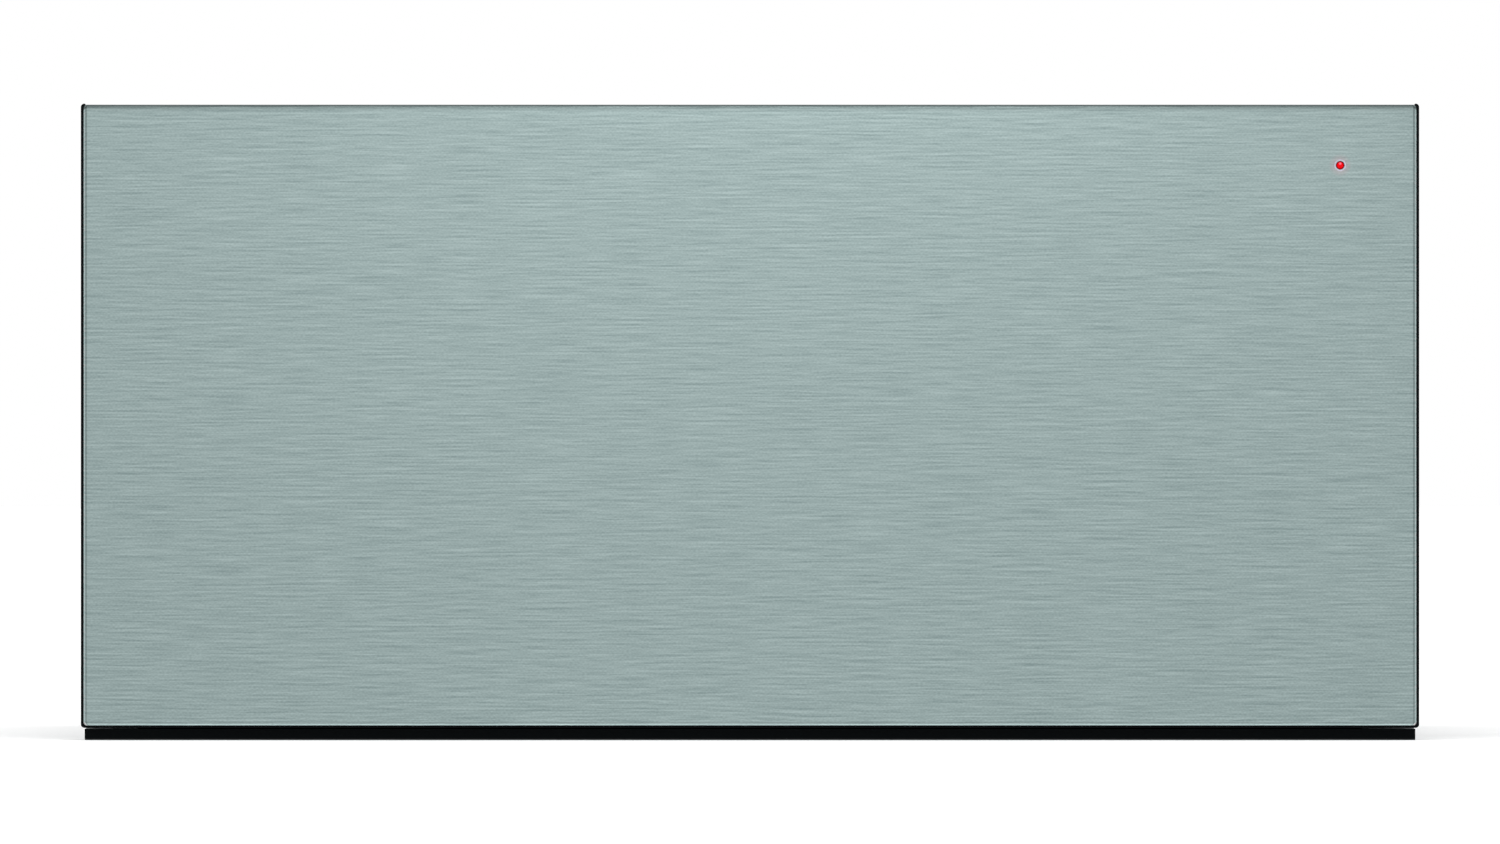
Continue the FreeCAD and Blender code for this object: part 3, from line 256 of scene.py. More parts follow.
# Brushed stainless front. Rolled sheet, linished along its width: the belt leaves fine broken
# lines along X that pull every reflection out into a vertical smear.
brushing = {
    "steel": ("#93A6A6", "#AABDBC", "#BFD2D1"),
    # length and width in mm and share of each kind of mark; under 0.5 mm they would be lost
    "marks": ((36, 0.85, 0.27), (15, 0.72, 0.26), (90, 0.8, 0.1), (4.5, 0.6, 0.11), (1.1, 0.5, 0.23),
              (260, 45, 0.03)),
    "lip": (1.0, 0.22),  # how far beside a mark its bright lip lies, mm, and how strong it is
    "spread": 0.22,  # of the grain, from the middle steel to the dark and the light one
    "bite": 0.02,  # depth of the marks, mm
    "biteStrength": 0.4,
    "roughness": (0.40, 0.48),
    "roughSpan": (0.35, 0.65),  # of the grain: the darker, the rougher
    "anisotropy": 0.6,
    "acrossLines": 0.25,  # share of a full turn: the smear lies across the lines
    # painted light and shade on the folds, multiplied into the colour: brightness by mm past the sheet's edge
    # along the unfolded sheet
    "topFoldPaintedShade": ((-3.6, 1.0), (-2.9, 0.95), (-2.2, 0.89), (-1.75, 0.76), (-1.2, 0.32), (-0.5, 0.22),
                (1.7, 0.22), (2.6, 1.0)),
    "sideFoldPaintedLightAndShade": ((-2.6, 1.0), (-1.75, 0.98), (-1.36, 0.64), (-1.0, 0.64), (-0.66, 2.0), (1.7, 2.0),
                 (2.6, 1.0)),
    "bottomFoldPaintedLightAndShade": ((-1.9, 1.0), (-1.3, 0.9), (-0.8, 1.1), (-0.3, 1.6), (1.7, 1.6), (2.6, 1.0)),
    "paintedFoldSpan": 3.8,  # mm to each side of the edge
    # painted glow of the lamp on the lines round its hole
    "paintedLampGlow": "#E8A9B4",
    "paintedGlowShare": 0.22,
    "paintedGlowReach": (2.6, 5.2),  # from the lamp's middle, mm
}


def brushedFront(lampPlace):
    finish, tree, place = startFinish("linishedStainlessFront")
    unfolded = addNode(tree, "ShaderNodeUVMap", {"uv_map": "unfolded"}).outputs[0]
    # each kind of mark adds its share, and a bright lip beside the mark takes some of it away again
    middle = 0.5  # of a noise, and of the grain that they add up to
    lipShift, lipShare = brushing["lip"]
    grain = addNode(tree, "ShaderNodeMath", {"operation": "MULTIPLY", 0: middle, 1: lipShare}).outputs[0]
    for length, width, share in brushing["marks"]:
        for shift, weight in ((0, share), (lipShift, -share * lipShare)):
            sized = addNode(tree, "ShaderNodeMapping",
                            {"Location": (0, shift / width, 0), "Scale": (perMm(length), perMm(width), 1)},
                            {"Vector": unfolded})
            noise = addNode(tree, "ShaderNodeTexNoise", {"noise_dimensions": "2D", "Scale": 1, "Detail": 0},
                            {"Vector": sized.outputs[0]})
            grain = addNode(tree, "ShaderNodeMath", {"operation": "MULTIPLY_ADD", 1: weight},
                            {0: noise.outputs[0], 2: grain}).outputs[0]
    spread = brushing["spread"]
    stops = list(zip((middle - spread, middle, middle + spread), brushing["steel"]))
    colour = addNode(tree, "ShaderNodeValToRGB", {"stops": stops}, {"Fac": grain}).outputs[0]
    # painted glow: the lamp's red light painted onto the lines round its hole
    away = addNode(tree, "ShaderNodeVectorMath", {"operation": "DISTANCE", 1: lampPlace},
                   {0: place}).outputs["Value"]
    near, far = brushing["paintedGlowReach"]
    spill = addNode(tree, "ShaderNodeMapRange",
                    {"From Min": mm(near), "From Max": mm(far), "To Min": brushing["paintedGlowShare"], "To Max": 0},
                    {"Value": away})
    colour = addNode(tree, "ShaderNodeMix", {"data_type": "RGBA", 7: linear(brushing["paintedLampGlow"])},
                     {0: spill.outputs[0], 6: colour}).outputs[2]
    # painted shade and painted highlights on the folds, in thin dark and light lines
    low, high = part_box("front_skin")
    flat = addNode(tree, "ShaderNodeSeparateXYZ", None, {0: unfolded}).outputs
    aside = addNode(tree, "ShaderNodeMath", {"operation": "ABSOLUTE"}, {0: flat[0]}).outputs[0]
    span = brushing["paintedFoldSpan"]
    for fold, source, edge, way in (("topFoldPaintedShade", flat[1], high.z, 1), ("sideFoldPaintedLightAndShade", aside, high.x, 1),
                                    ("bottomFoldPaintedLightAndShade", flat[1], low.z, -1)):
        past = addNode(tree, "ShaderNodeMapRange",
                       {"From Min": edge - way * mm(span), "From Max": edge + way * mm(span)},
                       {"Value": source})
        stops = [((reach + span) / (2 * span), bright) for reach, bright in brushing[fold]]
        shade = addNode(tree, "ShaderNodeValToRGB", {"stops": stops}, {"Fac": past.outputs[0]}).outputs[0]
        colour = addNode(tree, "ShaderNodeMix", {"data_type": "RGBA", "blend_type": "MULTIPLY", 0: 1.0},
                         {6: colour, 7: shade}).outputs[2]
    smoothest, roughest = brushing["roughness"]
    dark, light = brushing["roughSpan"]
    rough = addNode(tree, "ShaderNodeMapRange",
                    {"From Min": dark, "From Max": light, "To Min": roughest, "To Max": smoothest},
                    {"Value": grain})
    along = addNode(tree, "ShaderNodeTangent", {"direction_type": "UV_MAP", "uv_map": "unfolded"})
    bump = addNode(tree, "ShaderNodeBump",
                   {"Strength": brushing["biteStrength"], "Distance": mm(brushing["bite"])},
                   {"Height": grain})
    endFinish(tree, {"Metallic": 1, "Anisotropic": brushing["anisotropy"],
                     "Anisotropic Rotation": brushing["acrossLines"]},
              {"Base Color": colour, "Roughness": rough.outputs[0], "Tangent": along.outputs[0],
               "Normal": bump.outputs[0]})
    return finish


# Galvanised sheet. Hot-dipped zinc freezes into flat crystals, so each patch a few millimetres
# across has its own grey and its own gloss.
galvanising = {
    "crystal": 7,
    "tear": (4, 2.2),  # size of the ragged edges and how far they pull, mm
    "haze": (35, 0.45),  # size of the clouding over the crystals, mm, and its share
    "greys": ("#A2A8AA", "#AAB0B1", "#B1B6B7", "#B8BDBD"),
    "greyStart": 0.15,  # where the greys lie in the mixed grain
    "greyStep": 0.25,
    "roughness": (0.4, 0.5),
    "relief": 0.05,
    "reliefStrength": 0.1,
    "frontEdgeDarkening": 0.2,  # share of the brightness left along the front edge: bare sheared steel, with painted shade where it sits under the trim
    "frontEdgeDepth": 0.6,
}


def galvanisedSheet(name, frontEdgePlace=None):
    finish, tree, place = startFinish(name)
    tearSize, tearPull = galvanising["tear"]
    torn = addNode(tree, "ShaderNodeTexNoise", {"Scale": perMm(tearSize), "Detail": 3}, {"Vector": place})
    pulled = addNode(tree, "ShaderNodeVectorMath", {"operation": "MULTIPLY_ADD", 1: [mm(tearPull)] * 3},
                     {0: torn.outputs["Color"], 2: place})
    crystals = addNode(tree, "ShaderNodeTexVoronoi", {"Scale": perMm(galvanising["crystal"])},
                       {"Vector": pulled.outputs[0]})
    shade = addNode(tree, "ShaderNodeSeparateColor", None, {0: crystals.outputs["Color"]})
    hazeSize, hazeShare = galvanising["haze"]
    haze = addNode(tree, "ShaderNodeTexNoise", {"Scale": perMm(hazeSize), "Detail": 3}, {"Vector": place})
    mixed = addNode(tree, "ShaderNodeMix", {0: hazeShare}, {2: shade.outputs[0], 3: haze.outputs[0]})
    stops = [(galvanising["greyStart"] + galvanising["greyStep"] * i, code)
             for i, code in enumerate(galvanising["greys"])]
    colour = addNode(tree, "ShaderNodeValToRGB", {"stops": stops}, {"Fac": mixed.outputs[0]}).outputs[0]
    if frontEdgePlace is not None:  # the front edge darkens: the sheared edge's bare, dull steel, and painted shade under the trim strip
        deep = addNode(tree, "ShaderNodeSeparateXYZ", None, {0: place}).outputs[1]
        zinc = addNode(tree, "ShaderNodeMapRange",
                       {"From Min": frontEdgePlace, "From Max": frontEdgePlace + mm(galvanising["frontEdgeDepth"]),
                        "To Min": galvanising["frontEdgeDarkening"]}, {"Value": deep}).outputs[0]
        colour = addNode(tree, "ShaderNodeVectorMath", {"operation": "SCALE"},
                         {0: colour, "Scale": zinc}).outputs[0]
    low, high = galvanising["roughness"]
    rough = addNode(tree, "ShaderNodeMapRange", {"To Min": low, "To Max": high}, {"Value": shade.outputs[1]})
    bump = addNode(tree, "ShaderNodeBump",
                   {"Strength": galvanising["reliefStrength"], "Distance": mm(galvanising["relief"])},
                   {"Height": shade.outputs[2]})
    endFinish(tree, {"Metallic": 0.9},
              {"Base Color": colour, "Roughness": rough.outputs[0], "Normal": bump.outputs[0]})
    return finish


# Red polycarbonate lens over the lamp: clear moulded dome, lit from behind, with painted shade at its rim and
# a painted highlight
lensLook = {
    "glow": 0.1,
    "radius": 1.95,
    # by share of the way from the middle to the rim; the darkening towards the rim is painted shade
    "body": ((0.0, "#CE0006"), (0.5, "#E40008"), (0.8, "#A80010"), (0.92, "#4C0412"), (1.0, "#220810")),
    "paintedHighlightSpot": (0, 0.75),  # where the painted highlight lies, mm off the middle along X and Z
    "paintedHighlightReach": 0.72,
    "paintedHighlightShare": 0.7,
    "paintedHighlightColour": "#FF9CB8",
}


def redLens(lampPlace):
    finish, tree, place = startFinish("mouldedRedPolycarbonate")
    flat = addNode(tree, "ShaderNodeVectorMath", {"operation": "MULTIPLY", 1: (1, 0, 1)},
                   {0: place}).outputs[0]
    middle = Vector((lampPlace.x, 0, lampPlace.z))
    away = addNode(tree, "ShaderNodeVectorMath", {"operation": "DISTANCE", 1: middle}, {0: flat})
    share = addNode(tree, "ShaderNodeMapRange", {"From Max": mm(lensLook["radius"])},
                    {"Value": away.outputs["Value"]})
    body = addNode(tree, "ShaderNodeValToRGB", {"stops": lensLook["body"]}, {"Fac": share.outputs[0]})
    # a painted highlight: a pale spot mixed into the colour, and so into the glow too
    x, z = lensLook["paintedHighlightSpot"]
    near = addNode(tree, "ShaderNodeVectorMath", {"operation": "DISTANCE", 1: middle + spot(x, 0, z)},
                   {0: flat})
    hot = addNode(tree, "ShaderNodeMapRange",
                  {"From Max": mm(lensLook["paintedHighlightReach"]), "To Min": lensLook["paintedHighlightShare"], "To Max": 0},
                  {"Value": near.outputs["Value"]})
    colour = addNode(tree, "ShaderNodeMix", {"data_type": "RGBA", 7: linear(lensLook["paintedHighlightColour"])},
                     {0: hot.outputs[0], 6: body.outputs[0]}).outputs[2]
    endFinish(tree, {"Roughness": 0.2, "IOR": 1.58, "Specular IOR Level": 0.06,
                     "Emission Strength": lensLook["glow"]},
              {"Base Color": colour, "Emission Color": colour})
    return finish


# Glass-fibre board under green solder mask: the cloth's square weave shows through as a fine check
boardLook = {
    "thread": 0.9,  # from one thread to the next, mm
    "waver": 0.6,
    "mask": ("#0E3B24", "#1C5A38"),
    "relief": 0.03,
    "reliefStrength": 0.2,
}
waveTurn = math.tau / 20  # a wave texture turns by 20 radians in one unit


def fibreglassBoard():
    finish, tree, place = startFinish("solderMaskedFibreglass")
    threads = []
    for turn in (0, math.radians(90)):
        turned = addNode(tree, "ShaderNodeMapping", {"Rotation": (0, turn, 0)}, {"Vector": place})
        weave = addNode(tree, "ShaderNodeTexWave",
                        {"bands_direction": "X", "Scale": perMm(boardLook["thread"]) * waveTurn,
                         "Distortion": boardLook["waver"]}, {"Vector": turned.outputs[0]})
        threads.append(weave.outputs["Fac"])
    cloth = addNode(tree, "ShaderNodeMath", {"operation": "MULTIPLY"},
                    {0: threads[0], 1: threads[1]}).outputs[0]
    stops = list(enumerate(boardLook["mask"]))
    colour = addNode(tree, "ShaderNodeValToRGB", {"stops": stops}, {"Fac": cloth})
    bump = addNode(tree, "ShaderNodeBump",
                   {"Strength": boardLook["reliefStrength"], "Distance": mm(boardLook["relief"])},
                   {"Height": cloth})
    endFinish(tree, {"Roughness": 0.35, "IOR": 1.52},
              {"Base Color": colour.outputs[0], "Normal": bump.outputs[0]})
    return finish


lensLow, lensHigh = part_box("indicator_lens")
lampPlace = Vector(((lensLow.x + lensHigh.x) / 2, cadBox[0].y, (lensLow.z + lensHigh.z) / 2))
metal = {"Metallic": 1}
grained = {  # what grainedFinish takes, by slot
    # satin stainless liner: short even polish marks run level round the walls
    "stainless": ("satinStainlessLiner", ("#C6CACA", "#D0D3D3", "#DADCDC"), (45, 45, 0.7), (0.34, 0.42),
                  0.004, {"Metallic": 0.9}),
    # roll-formed runner, bright zinc with a cold blue passivation, drawn lines along its length
    "rail_zinc": ("brightZincPlatedRail", ("#9FA7AE", "#B6BCC1", "#CBD0D3"), (1.2, 120, 1.2), (0.2, 0.34),
                  0.006, metal),
    # hardened balls and pressed cages: near mirror with a light haze of grease
    "bearing_steel": ("polishedBearingSteel", ("#8D9091", "#B4B7B8", "#C9CBCB"), (3, 3, 3), (0.08, 0.22),
                      0.0, metal),
    # spark-eroded mould leaves a very fine matt leather on black ABS; drawn at 0.5 mm so that it shows
    "black_plastic": ("mouldedBlackAbs", ("#0A0D0F", "#0E1214", "#131719"), (0.5, 0.5, 0.5), (0.42, 0.56),
                      0.012, {"Specular IOR Level": 0.22}),
    # softer satin caps, a shade lighter than the housing so that they read as keys
    "key_plastic": ("satinKeyAbs", ("#16191B", "#1B1F21", "#212527"), (0.6, 0.6, 0.6), (0.38, 0.5),
                    0.006, {"Specular IOR Level": 0.3}),
    # glass-filled polyamide: flow lines and pale fibre clouding
    "grey_plastic": ("mouldedGreyPolyamide", ("#6E7375", "#7B8082", "#868B8C"), (6, 2, 2), (0.45, 0.6), 0.01),
    # moulded polyester: warm white, faintly clouded, half gloss
    "white_plastic": ("mouldedWhitePbt", ("#D9D8D2", "#E3E2DC", "#EBEAE5"), (4, 4, 4), (0.35, 0.5), 0.005),
    # clear acrylic light pipe, unlit: smoky, with a glossy end face
    "light_pipe": ("clearAcrylicLightPipe", ("#B9C2C4", "#CBD3D4", "#DCE2E2"), (1, 1, 1), (0.06, 0.14),
                   0.0, {"IOR": 1.49, "Transmission Weight": 0.35}),
    # nitrile pads: dull black with a bloom of dust
    "rubber": ("mouldedNitrileRubber", ("#17181A", "#1F2022", "#2A2B2C"), (1.5, 1.5, 1.5), (0.7, 0.9),
               0.02, {"Specular IOR Level": 0.25}),
    # silicone mat: matt anthracite that holds a little lint
    "mat_rubber": ("mouldedSiliconeMat", ("#4A4D50", "#54575A", "#5F6265"), (5, 5, 5), (0.62, 0.8),
                   0.01, {"Specular IOR Level": 0.3}),
    # heater tube: drawn alloy, oxidised olive brown with bluer temper patches
    "heater_sheath": ("oxidisedHeaterSheath", ("#2B2A2C", "#3F3A35", "#4C4A45", "#39404A"), (14, 14, 14),
                      (0.4, 0.6), 0.01, {"Metallic": 0.8}),
    # fired steatite: off-white, eggshell gloss, iron specks
    "ceramic": ("firedSteatite", ("#B9B1A2", "#DAD5CA", "#E6E2D9"), (0.9, 0.9, 0.9), (0.4, 0.55), 0.01),
    # pressed fan blades: dull rolled aluminium
    "fan_aluminium": ("pressedAluminium", ("#A4A8AA", "#B9BCBD", "#C9CBCC"), (18, 2, 18), (0.32, 0.44),
                      0.006, metal),
    # centreless ground rod: turned lines round the shaft
    "shaft_steel": ("groundShaftSteel", ("#A0A2A3", "#B5B7B8", "#C4C6C6"), (20, 0.6, 20), (0.16, 0.26),
                    0.003, metal),
    # motor shell: zinc primer under clear lacquer
    "motor_steel": ("lacqueredMotorSteel", ("#7B7F80", "#8B8F90", "#9A9D9D"), (8, 8, 8), (0.3, 0.42),
                    0.01, {"Metallic": 0.85, "Coat Weight": 0.3}),
    # zinc-plated screws: bright, a trace of yellow in the passivation
    "screw_steel": ("zincPlatedScrew", ("#A9AAA6", "#BFC0BC", "#D0D0CB"), (1.5, 1.5, 1.5), (0.18, 0.32),
                    0.004, metal),
    # spring wire: grey from the drawing die, bright where it was rubbed
    "spring_steel": ("drawnSpringWire", ("#6F7274", "#8B8E90", "#A3A6A7"), (2, 2, 2), (0.2, 0.34),
                     0.003, metal),
    # nickel plate on the magnet: warm, almost mirror bright
    "magnet_nickel": ("nickelPlatedMagnet", ("#A8A59E", "#BDBAB3", "#CDCAC4"), (2, 2, 2), (0.1, 0.2),
                      0.0, metal),
    # turned brass: fine tool rings
    "brass": ("turnedBrass", ("#A9853F", "#C29C50", "#D4B068"), (0.4, 8, 0.4), (0.2, 0.32), 0.004, metal),
}
finishes = {slot: grainedFinish(*values) for slot, values in grained.items()}
finishes["brushed_steel"] = brushedFront(lampPlace)
finishes["galvanised"] = galvanisedSheet("hotDippedZincSheet")
finishes["lens_red"] = redLens(lampPlace)
finishes["circuit_board"] = fibreglassBoard()
# the two black pieces at the front: a deeper, duller black than the other mouldings
frontBlack = grainedFinish("texturedBlackFrontAbs", ("#030709", "#05090B", "#080C0E"),
                           (0.6, 0.6, 0.6), (0.6, 0.7), 0.01, {"Specular IOR Level": 0.07})
ownFinishes = {"bottom_trim": frontBlack, "front_carrier": frontBlack,
               # base plate: its front edge is darkened, partly bare sheared steel and partly painted shade
               "base_plate": galvanisedSheet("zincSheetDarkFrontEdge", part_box("base_plate")[0].y)}
# white pad-printed ink on the keys: thin, slightly chalky
keyInk = grainedFinish("padPrintedInk", ("#C9CCCC", "#D9DCDC", "#E4E6E6"), (0.4, 0.4, 0.4), (0.5, 0.65))
# bezel round the lamp: smooth pale plastic with a cool cast
bezelPlastic = grainedFinish("mouldedPaleBezel", ("#A9A9B5", "#B3B3BF", "#BDBDC8"),
                             (0.5, 0.5, 0.5), (0.2, 0.3), 0.0, {"Specular IOR Level": 0.4})
print("finishes made for", len(finishes), "slots")

mergeReach = 1e-7  # metres: points nearer than this are one


def smoothMesh(mesh, sharpAngle):
    mesh.shade_smooth()
    mesh.set_sharp_from_angle(angle=math.radians(sharpAngle))
    return mesh


def finishMesh(name, shape, finish, sharpAngle):
    # shape is a bmesh: merged, turned outwards, smooth but for its real edges
    bmesh.ops.remove_doubles(shape, verts=shape.verts, dist=mergeReach)
    bmesh.ops.recalc_face_normals(shape, faces=shape.faces)
    mesh = bpy.data.meshes.new(name)
    shape.to_mesh(mesh)
    shape.free()
    mesh.materials.append(finish)
    return smoothMesh(mesh, sharpAngle)


def placePiece(name, mesh, body, slot, *nodes):
    piece = bpy.data.objects.new(name, mesh)
    scene.collection.objects.link(piece)
    if body:
        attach(piece, body)
    if nodes:
        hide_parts(*nodes)
    return piece


def bridge(shape, rings):
    # faces between closed rings of equal count
    for lower, upper in zip(rings, rings[1:]):
        count = len(lower)
        for i in range(count):
            j = (i + 1) % count
            corners = [lower[i], lower[j], upper[j], upper[i]]
            if len({tuple(v.co) for v in corners}) > 2:
                shape.faces.new(list(dict.fromkeys(corners)))


def turnedRings(shape, profile, sides, along, middle):
    # rings of a turned piece: profile is radius and depth in mm, along is its axis
    turn = Vector((0, 0, 1)).rotation_difference(along).to_matrix()
    angles = [2 * math.pi * i / sides for i in range(sides)]
    rings = []
    for radius, deep in profile:
        places = [spot(radius * math.cos(a), radius * math.sin(a), deep) for a in angles]
        rings.append([shape.verts.new(middle + turn @ place) for place in places])
    return rings


def roundedOutline(low, high, inset, corner, steps):
    # the outline in X and Z of a sheet with rounded corners, drawn in by inset
    radius = max(corner - inset, 0)
    x0, x1, z0, z1 = low.x + inset, high.x - inset, low.z + inset, high.z - inset
    places = []
    for x, z, start in ((x1 - radius, z1 - radius, 0), (x0 + radius, z1 - radius, 90),
                        (x0 + radius, z0 + radius, 180), (x1 - radius, z0 + radius, 270)):
        for i in range(steps + 1):
            angle = math.radians(start + 90 * i / steps)
            places.append((x + radius * math.cos(angle), z + radius * math.sin(angle)))
    return places


# Front skin: folded sheet with rounded bends, short returns and the lamp's countersunk hole
skin = {
    "sheet": 1.0,
    "bend": 1.75,  # radius outside
    "bendSteps": 7,
    "corner": 1.6,
    "cornerSteps": 6,
    "hole": 2.0,  # radius
    "sink": 2.72,
    "sinkDepth": 0.7,
    "holeSides": 64,
    "sideGap": 0.12,  # drawn in at each side, so that the black edge beside it shows
    "sharpAngle": 25,
}
planeReach = 1e-6  # metres: points nearer than this lie in one plane


def frontSkin():
    low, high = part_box("front_skin")
    gap = spot(skin["sideGap"], 0, 0)
    low, high = low + gap, high - gap
    shape = bmesh.new()
    bend, sheet = mm(skin["bend"]), mm(skin["sheet"])
    inner = bend - sheet
    angles = [math.radians(90 * i / skin["bendSteps"]) for i in range(skin["bendSteps"] + 1)]
    # inset and Y, from the front flat over the bend to the return and back inside
    profile = [(bend * (1 - math.sin(a)), low.y + bend * (1 - math.cos(a))) for a in angles]
    profile += [(0, high.y), (sheet, high.y)]
    profile += [(sheet + inner * (1 - math.sin(a)), low.y + sheet + inner * (1 - math.cos(a)))
                for a in reversed(angles)]
    rings = []
    for inset, y in profile:
        outline = roundedOutline(low, high, inset, mm(skin["corner"]), skin["cornerSteps"])
        rings.append([shape.verts.new((x, y, z)) for x, z in outline])
    bridge(shape, rings)
    middle = Vector((lampPlace.x, low.y, lampPlace.z))
    depths = ((skin["sink"], 0), (skin["hole"], skin["sinkDepth"]), (skin["hole"], skin["sheet"]))
    bridge(shape, turnedRings(shape, depths, skin["holeSides"], Vector((0, 1, 0)), middle))
    bmesh.ops.remove_doubles(shape, verts=shape.verts, dist=mergeReach)
    for y in (low.y, low.y + sheet):  # the two flats, each with the hole left open
        rim = [e for e in shape.edges
               if len(e.link_faces) == 1 and all(abs(v.co.y - y) < planeReach for v in e.verts)]
        bmesh.ops.triangle_fill(shape, use_beauty=True, edges=rim)
    mesh = finishMesh("frontSkin", shape, finishes["brushed_steel"], skin["sharpAngle"])
    # flat pattern of the sheet before folding, in metres: the brush lines follow it
    unfolded = mesh.uv_layers.new(name="unfolded")
    for loop in mesh.loops:
        x, y, z = mesh.vertices[loop.vertex_index].co
        back = y - low.y
        u = x + math.copysign(back, x) * (abs(x) > high.x - bend)
        v = z + back * (z > high.z - bend) - back * (z < low.z + bend)
        unfolded.data[loop.index].uv = (u, v)
    placePiece("frontSkin", mesh, "drawer", "brushed_steel", "front_skin")


frontSkin()

# Bezel: fills the countersink round the lens with a slightly rounded face
bezel = {
    # radius and depth behind the front, from the bore over the face to the foot
    "profile": ((1.93, 0.62), (1.93, 0.2), (2.02, 0.1), (2.2675, 0.06), (2.53, 0.04), (2.68, 0.03),
                (2.05, 0.62)),
    "sides": 64,
    "sharpAngle": 50,
}


def indicatorBezel():
    shape = bmesh.new()
    rings = turnedRings(shape, bezel["profile"], bezel["sides"], Vector((0, 1, 0)), lampPlace)
    bridge(shape, rings + rings[:1])
    mesh = finishMesh("indicatorBezel", shape, bezelPlastic, bezel["sharpAngle"])
    placePiece("indicatorBezel", mesh, "drawer", "light_pipe")


indicatorBezel()
print("front made")


def runTree(name, mesh, tree, values):
    # sets a node tree's named inputs, runs it on mesh and gives back the plain result
    carrier = bpy.data.objects.new(name, mesh)
    scene.collection.objects.link(carrier)
    modifier = carrier.modifiers.new(name, "NODES")
    modifier.node_group = tree
    for socket in tree.interface.items_tree:
        if socket.in_out == "INPUT" and socket.name in values:
            modifier[socket.identifier] = values[socket.name]
    bpy.context.view_layer.update()
    evaluated = carrier.evaluated_get(bpy.context.evaluated_depsgraph_get())
    result = bpy.data.meshes.new_from_object(evaluated)
    carrier.modifiers.clear()
    bpy.data.objects.remove(carrier)
    result.name = name
    return result


def newTree(name, inputs):
    tree = bpy.data.node_groups.new(name, "GeometryNodeTree")
    tree.interface.new_socket("Geometry", in_out="INPUT", socket_type="NodeSocketGeometry")
    for label, kind in inputs.items():
        tree.interface.new_socket(label, in_out="INPUT", socket_type="NodeSocket" + kind)
    tree.interface.new_socket("Geometry", in_out="OUTPUT", socket_type="NodeSocketGeometry")
    return tree, addNode(tree, "NodeGroupInput").outputs


def endTree(tree, shape, finish):
    # instances become real faces with a finish, because the export drops instances
    real = addNode(tree, "GeometryNodeRealizeInstances", None, {0: shape})
    dressed = addNode(tree, "GeometryNodeSetMaterial", None,
                      {"Geometry": real.outputs[0], "Material": finish})
    addNode(tree, "NodeGroupOutput", None, {0: dressed.outputs[0]})


# Screws: one tree sets proud and countersunk heads on points, each turned by chance
screws = {
    # radius and height, from the shank's tip to the flat round the driver recess
    "panProfile": ((1.08, -2.2), (1.8, -1.8), (1.8, 0), (3.5, 0), (3.5, 0.9), (3.255, 1.44), (2.66, 1.84),
                   (2.1, 2.0)),
    "sunkProfile": ((1.08, -2.2), (1.8, -1.8), (1.8, -0.8), (3.255, -0.03), (3.15, 0), (2.17, 0)),
    "sides": 32,
    "slotArm": 1.9,
    "slotWidth": 0.5,  # of half a slot
    "slotDepth": 1.0,
    "slotTaper": 0.8,
    "sharpAngle": 32,
    "seed": 7,
    # through the sides into the runners and the back plate
    "railPlaces": (-196.75, -28, 140.75), "railHeight": 120, "sideX": 274, "panX": 259.7,
    "backPlaces": (69.75, 209.25), "backY": 279,
    # countersunk in the base and the top plate
    "sunkX": 266.2, "sunkY": (-232, 244.2), "sunkZ": (0, 279),
    # behind the front and round the fan's motor
    "frontX": 200, "frontY": -265.2, "frontZ": (79.3, 225.5),
    "motorCount": 3, "motorCircle": 35.5, "motorY": 189.8, "motorZ": 140,
}


def crossOutline(sides):
    # plus-shaped recess, as a radius for each angle; no angle lies along an arm
    radii = []
    for i in range(sides):
        angle = 2 * math.pi * (i + 0.5) / sides
        across = math.asin(abs(math.sin(2 * angle))) / 2  # angle off the nearest arm
        radii.append(min(screws["slotArm"] / math.cos(across), screws["slotWidth"] / math.sin(across)))
    return radii


def screwHead(name, profile):
    # turned head and shank along +Z with a driver recess sunk into the top
    sides = screws["sides"]
    top = profile[-1][1]
    floor = top - screws["slotDepth"]
    shape = bmesh.new()
    rings = turnedRings(shape, profile, sides, Vector((0, 0, 1)), Vector())
    for share, height in ((1, top), (screws["slotTaper"], floor)):
        ring = []
        for i, radius in enumerate(crossOutline(sides)):
            angle = 2 * math.pi * i / sides
            place = spot(share * radius * math.cos(angle), share * radius * math.sin(angle), height)
            ring.append(shape.verts.new(place))
        rings.append(ring)
    bottom = shape.verts.new(spot(0, 0, floor))
    bridge(shape, rings + [[bottom] * sides])
    shape.faces.new(rings[0])
    mesh = finishMesh(name, shape, finishes["screw_steel"], screws["sharpAngle"])
    return bpy.data.objects.new(name, mesh)


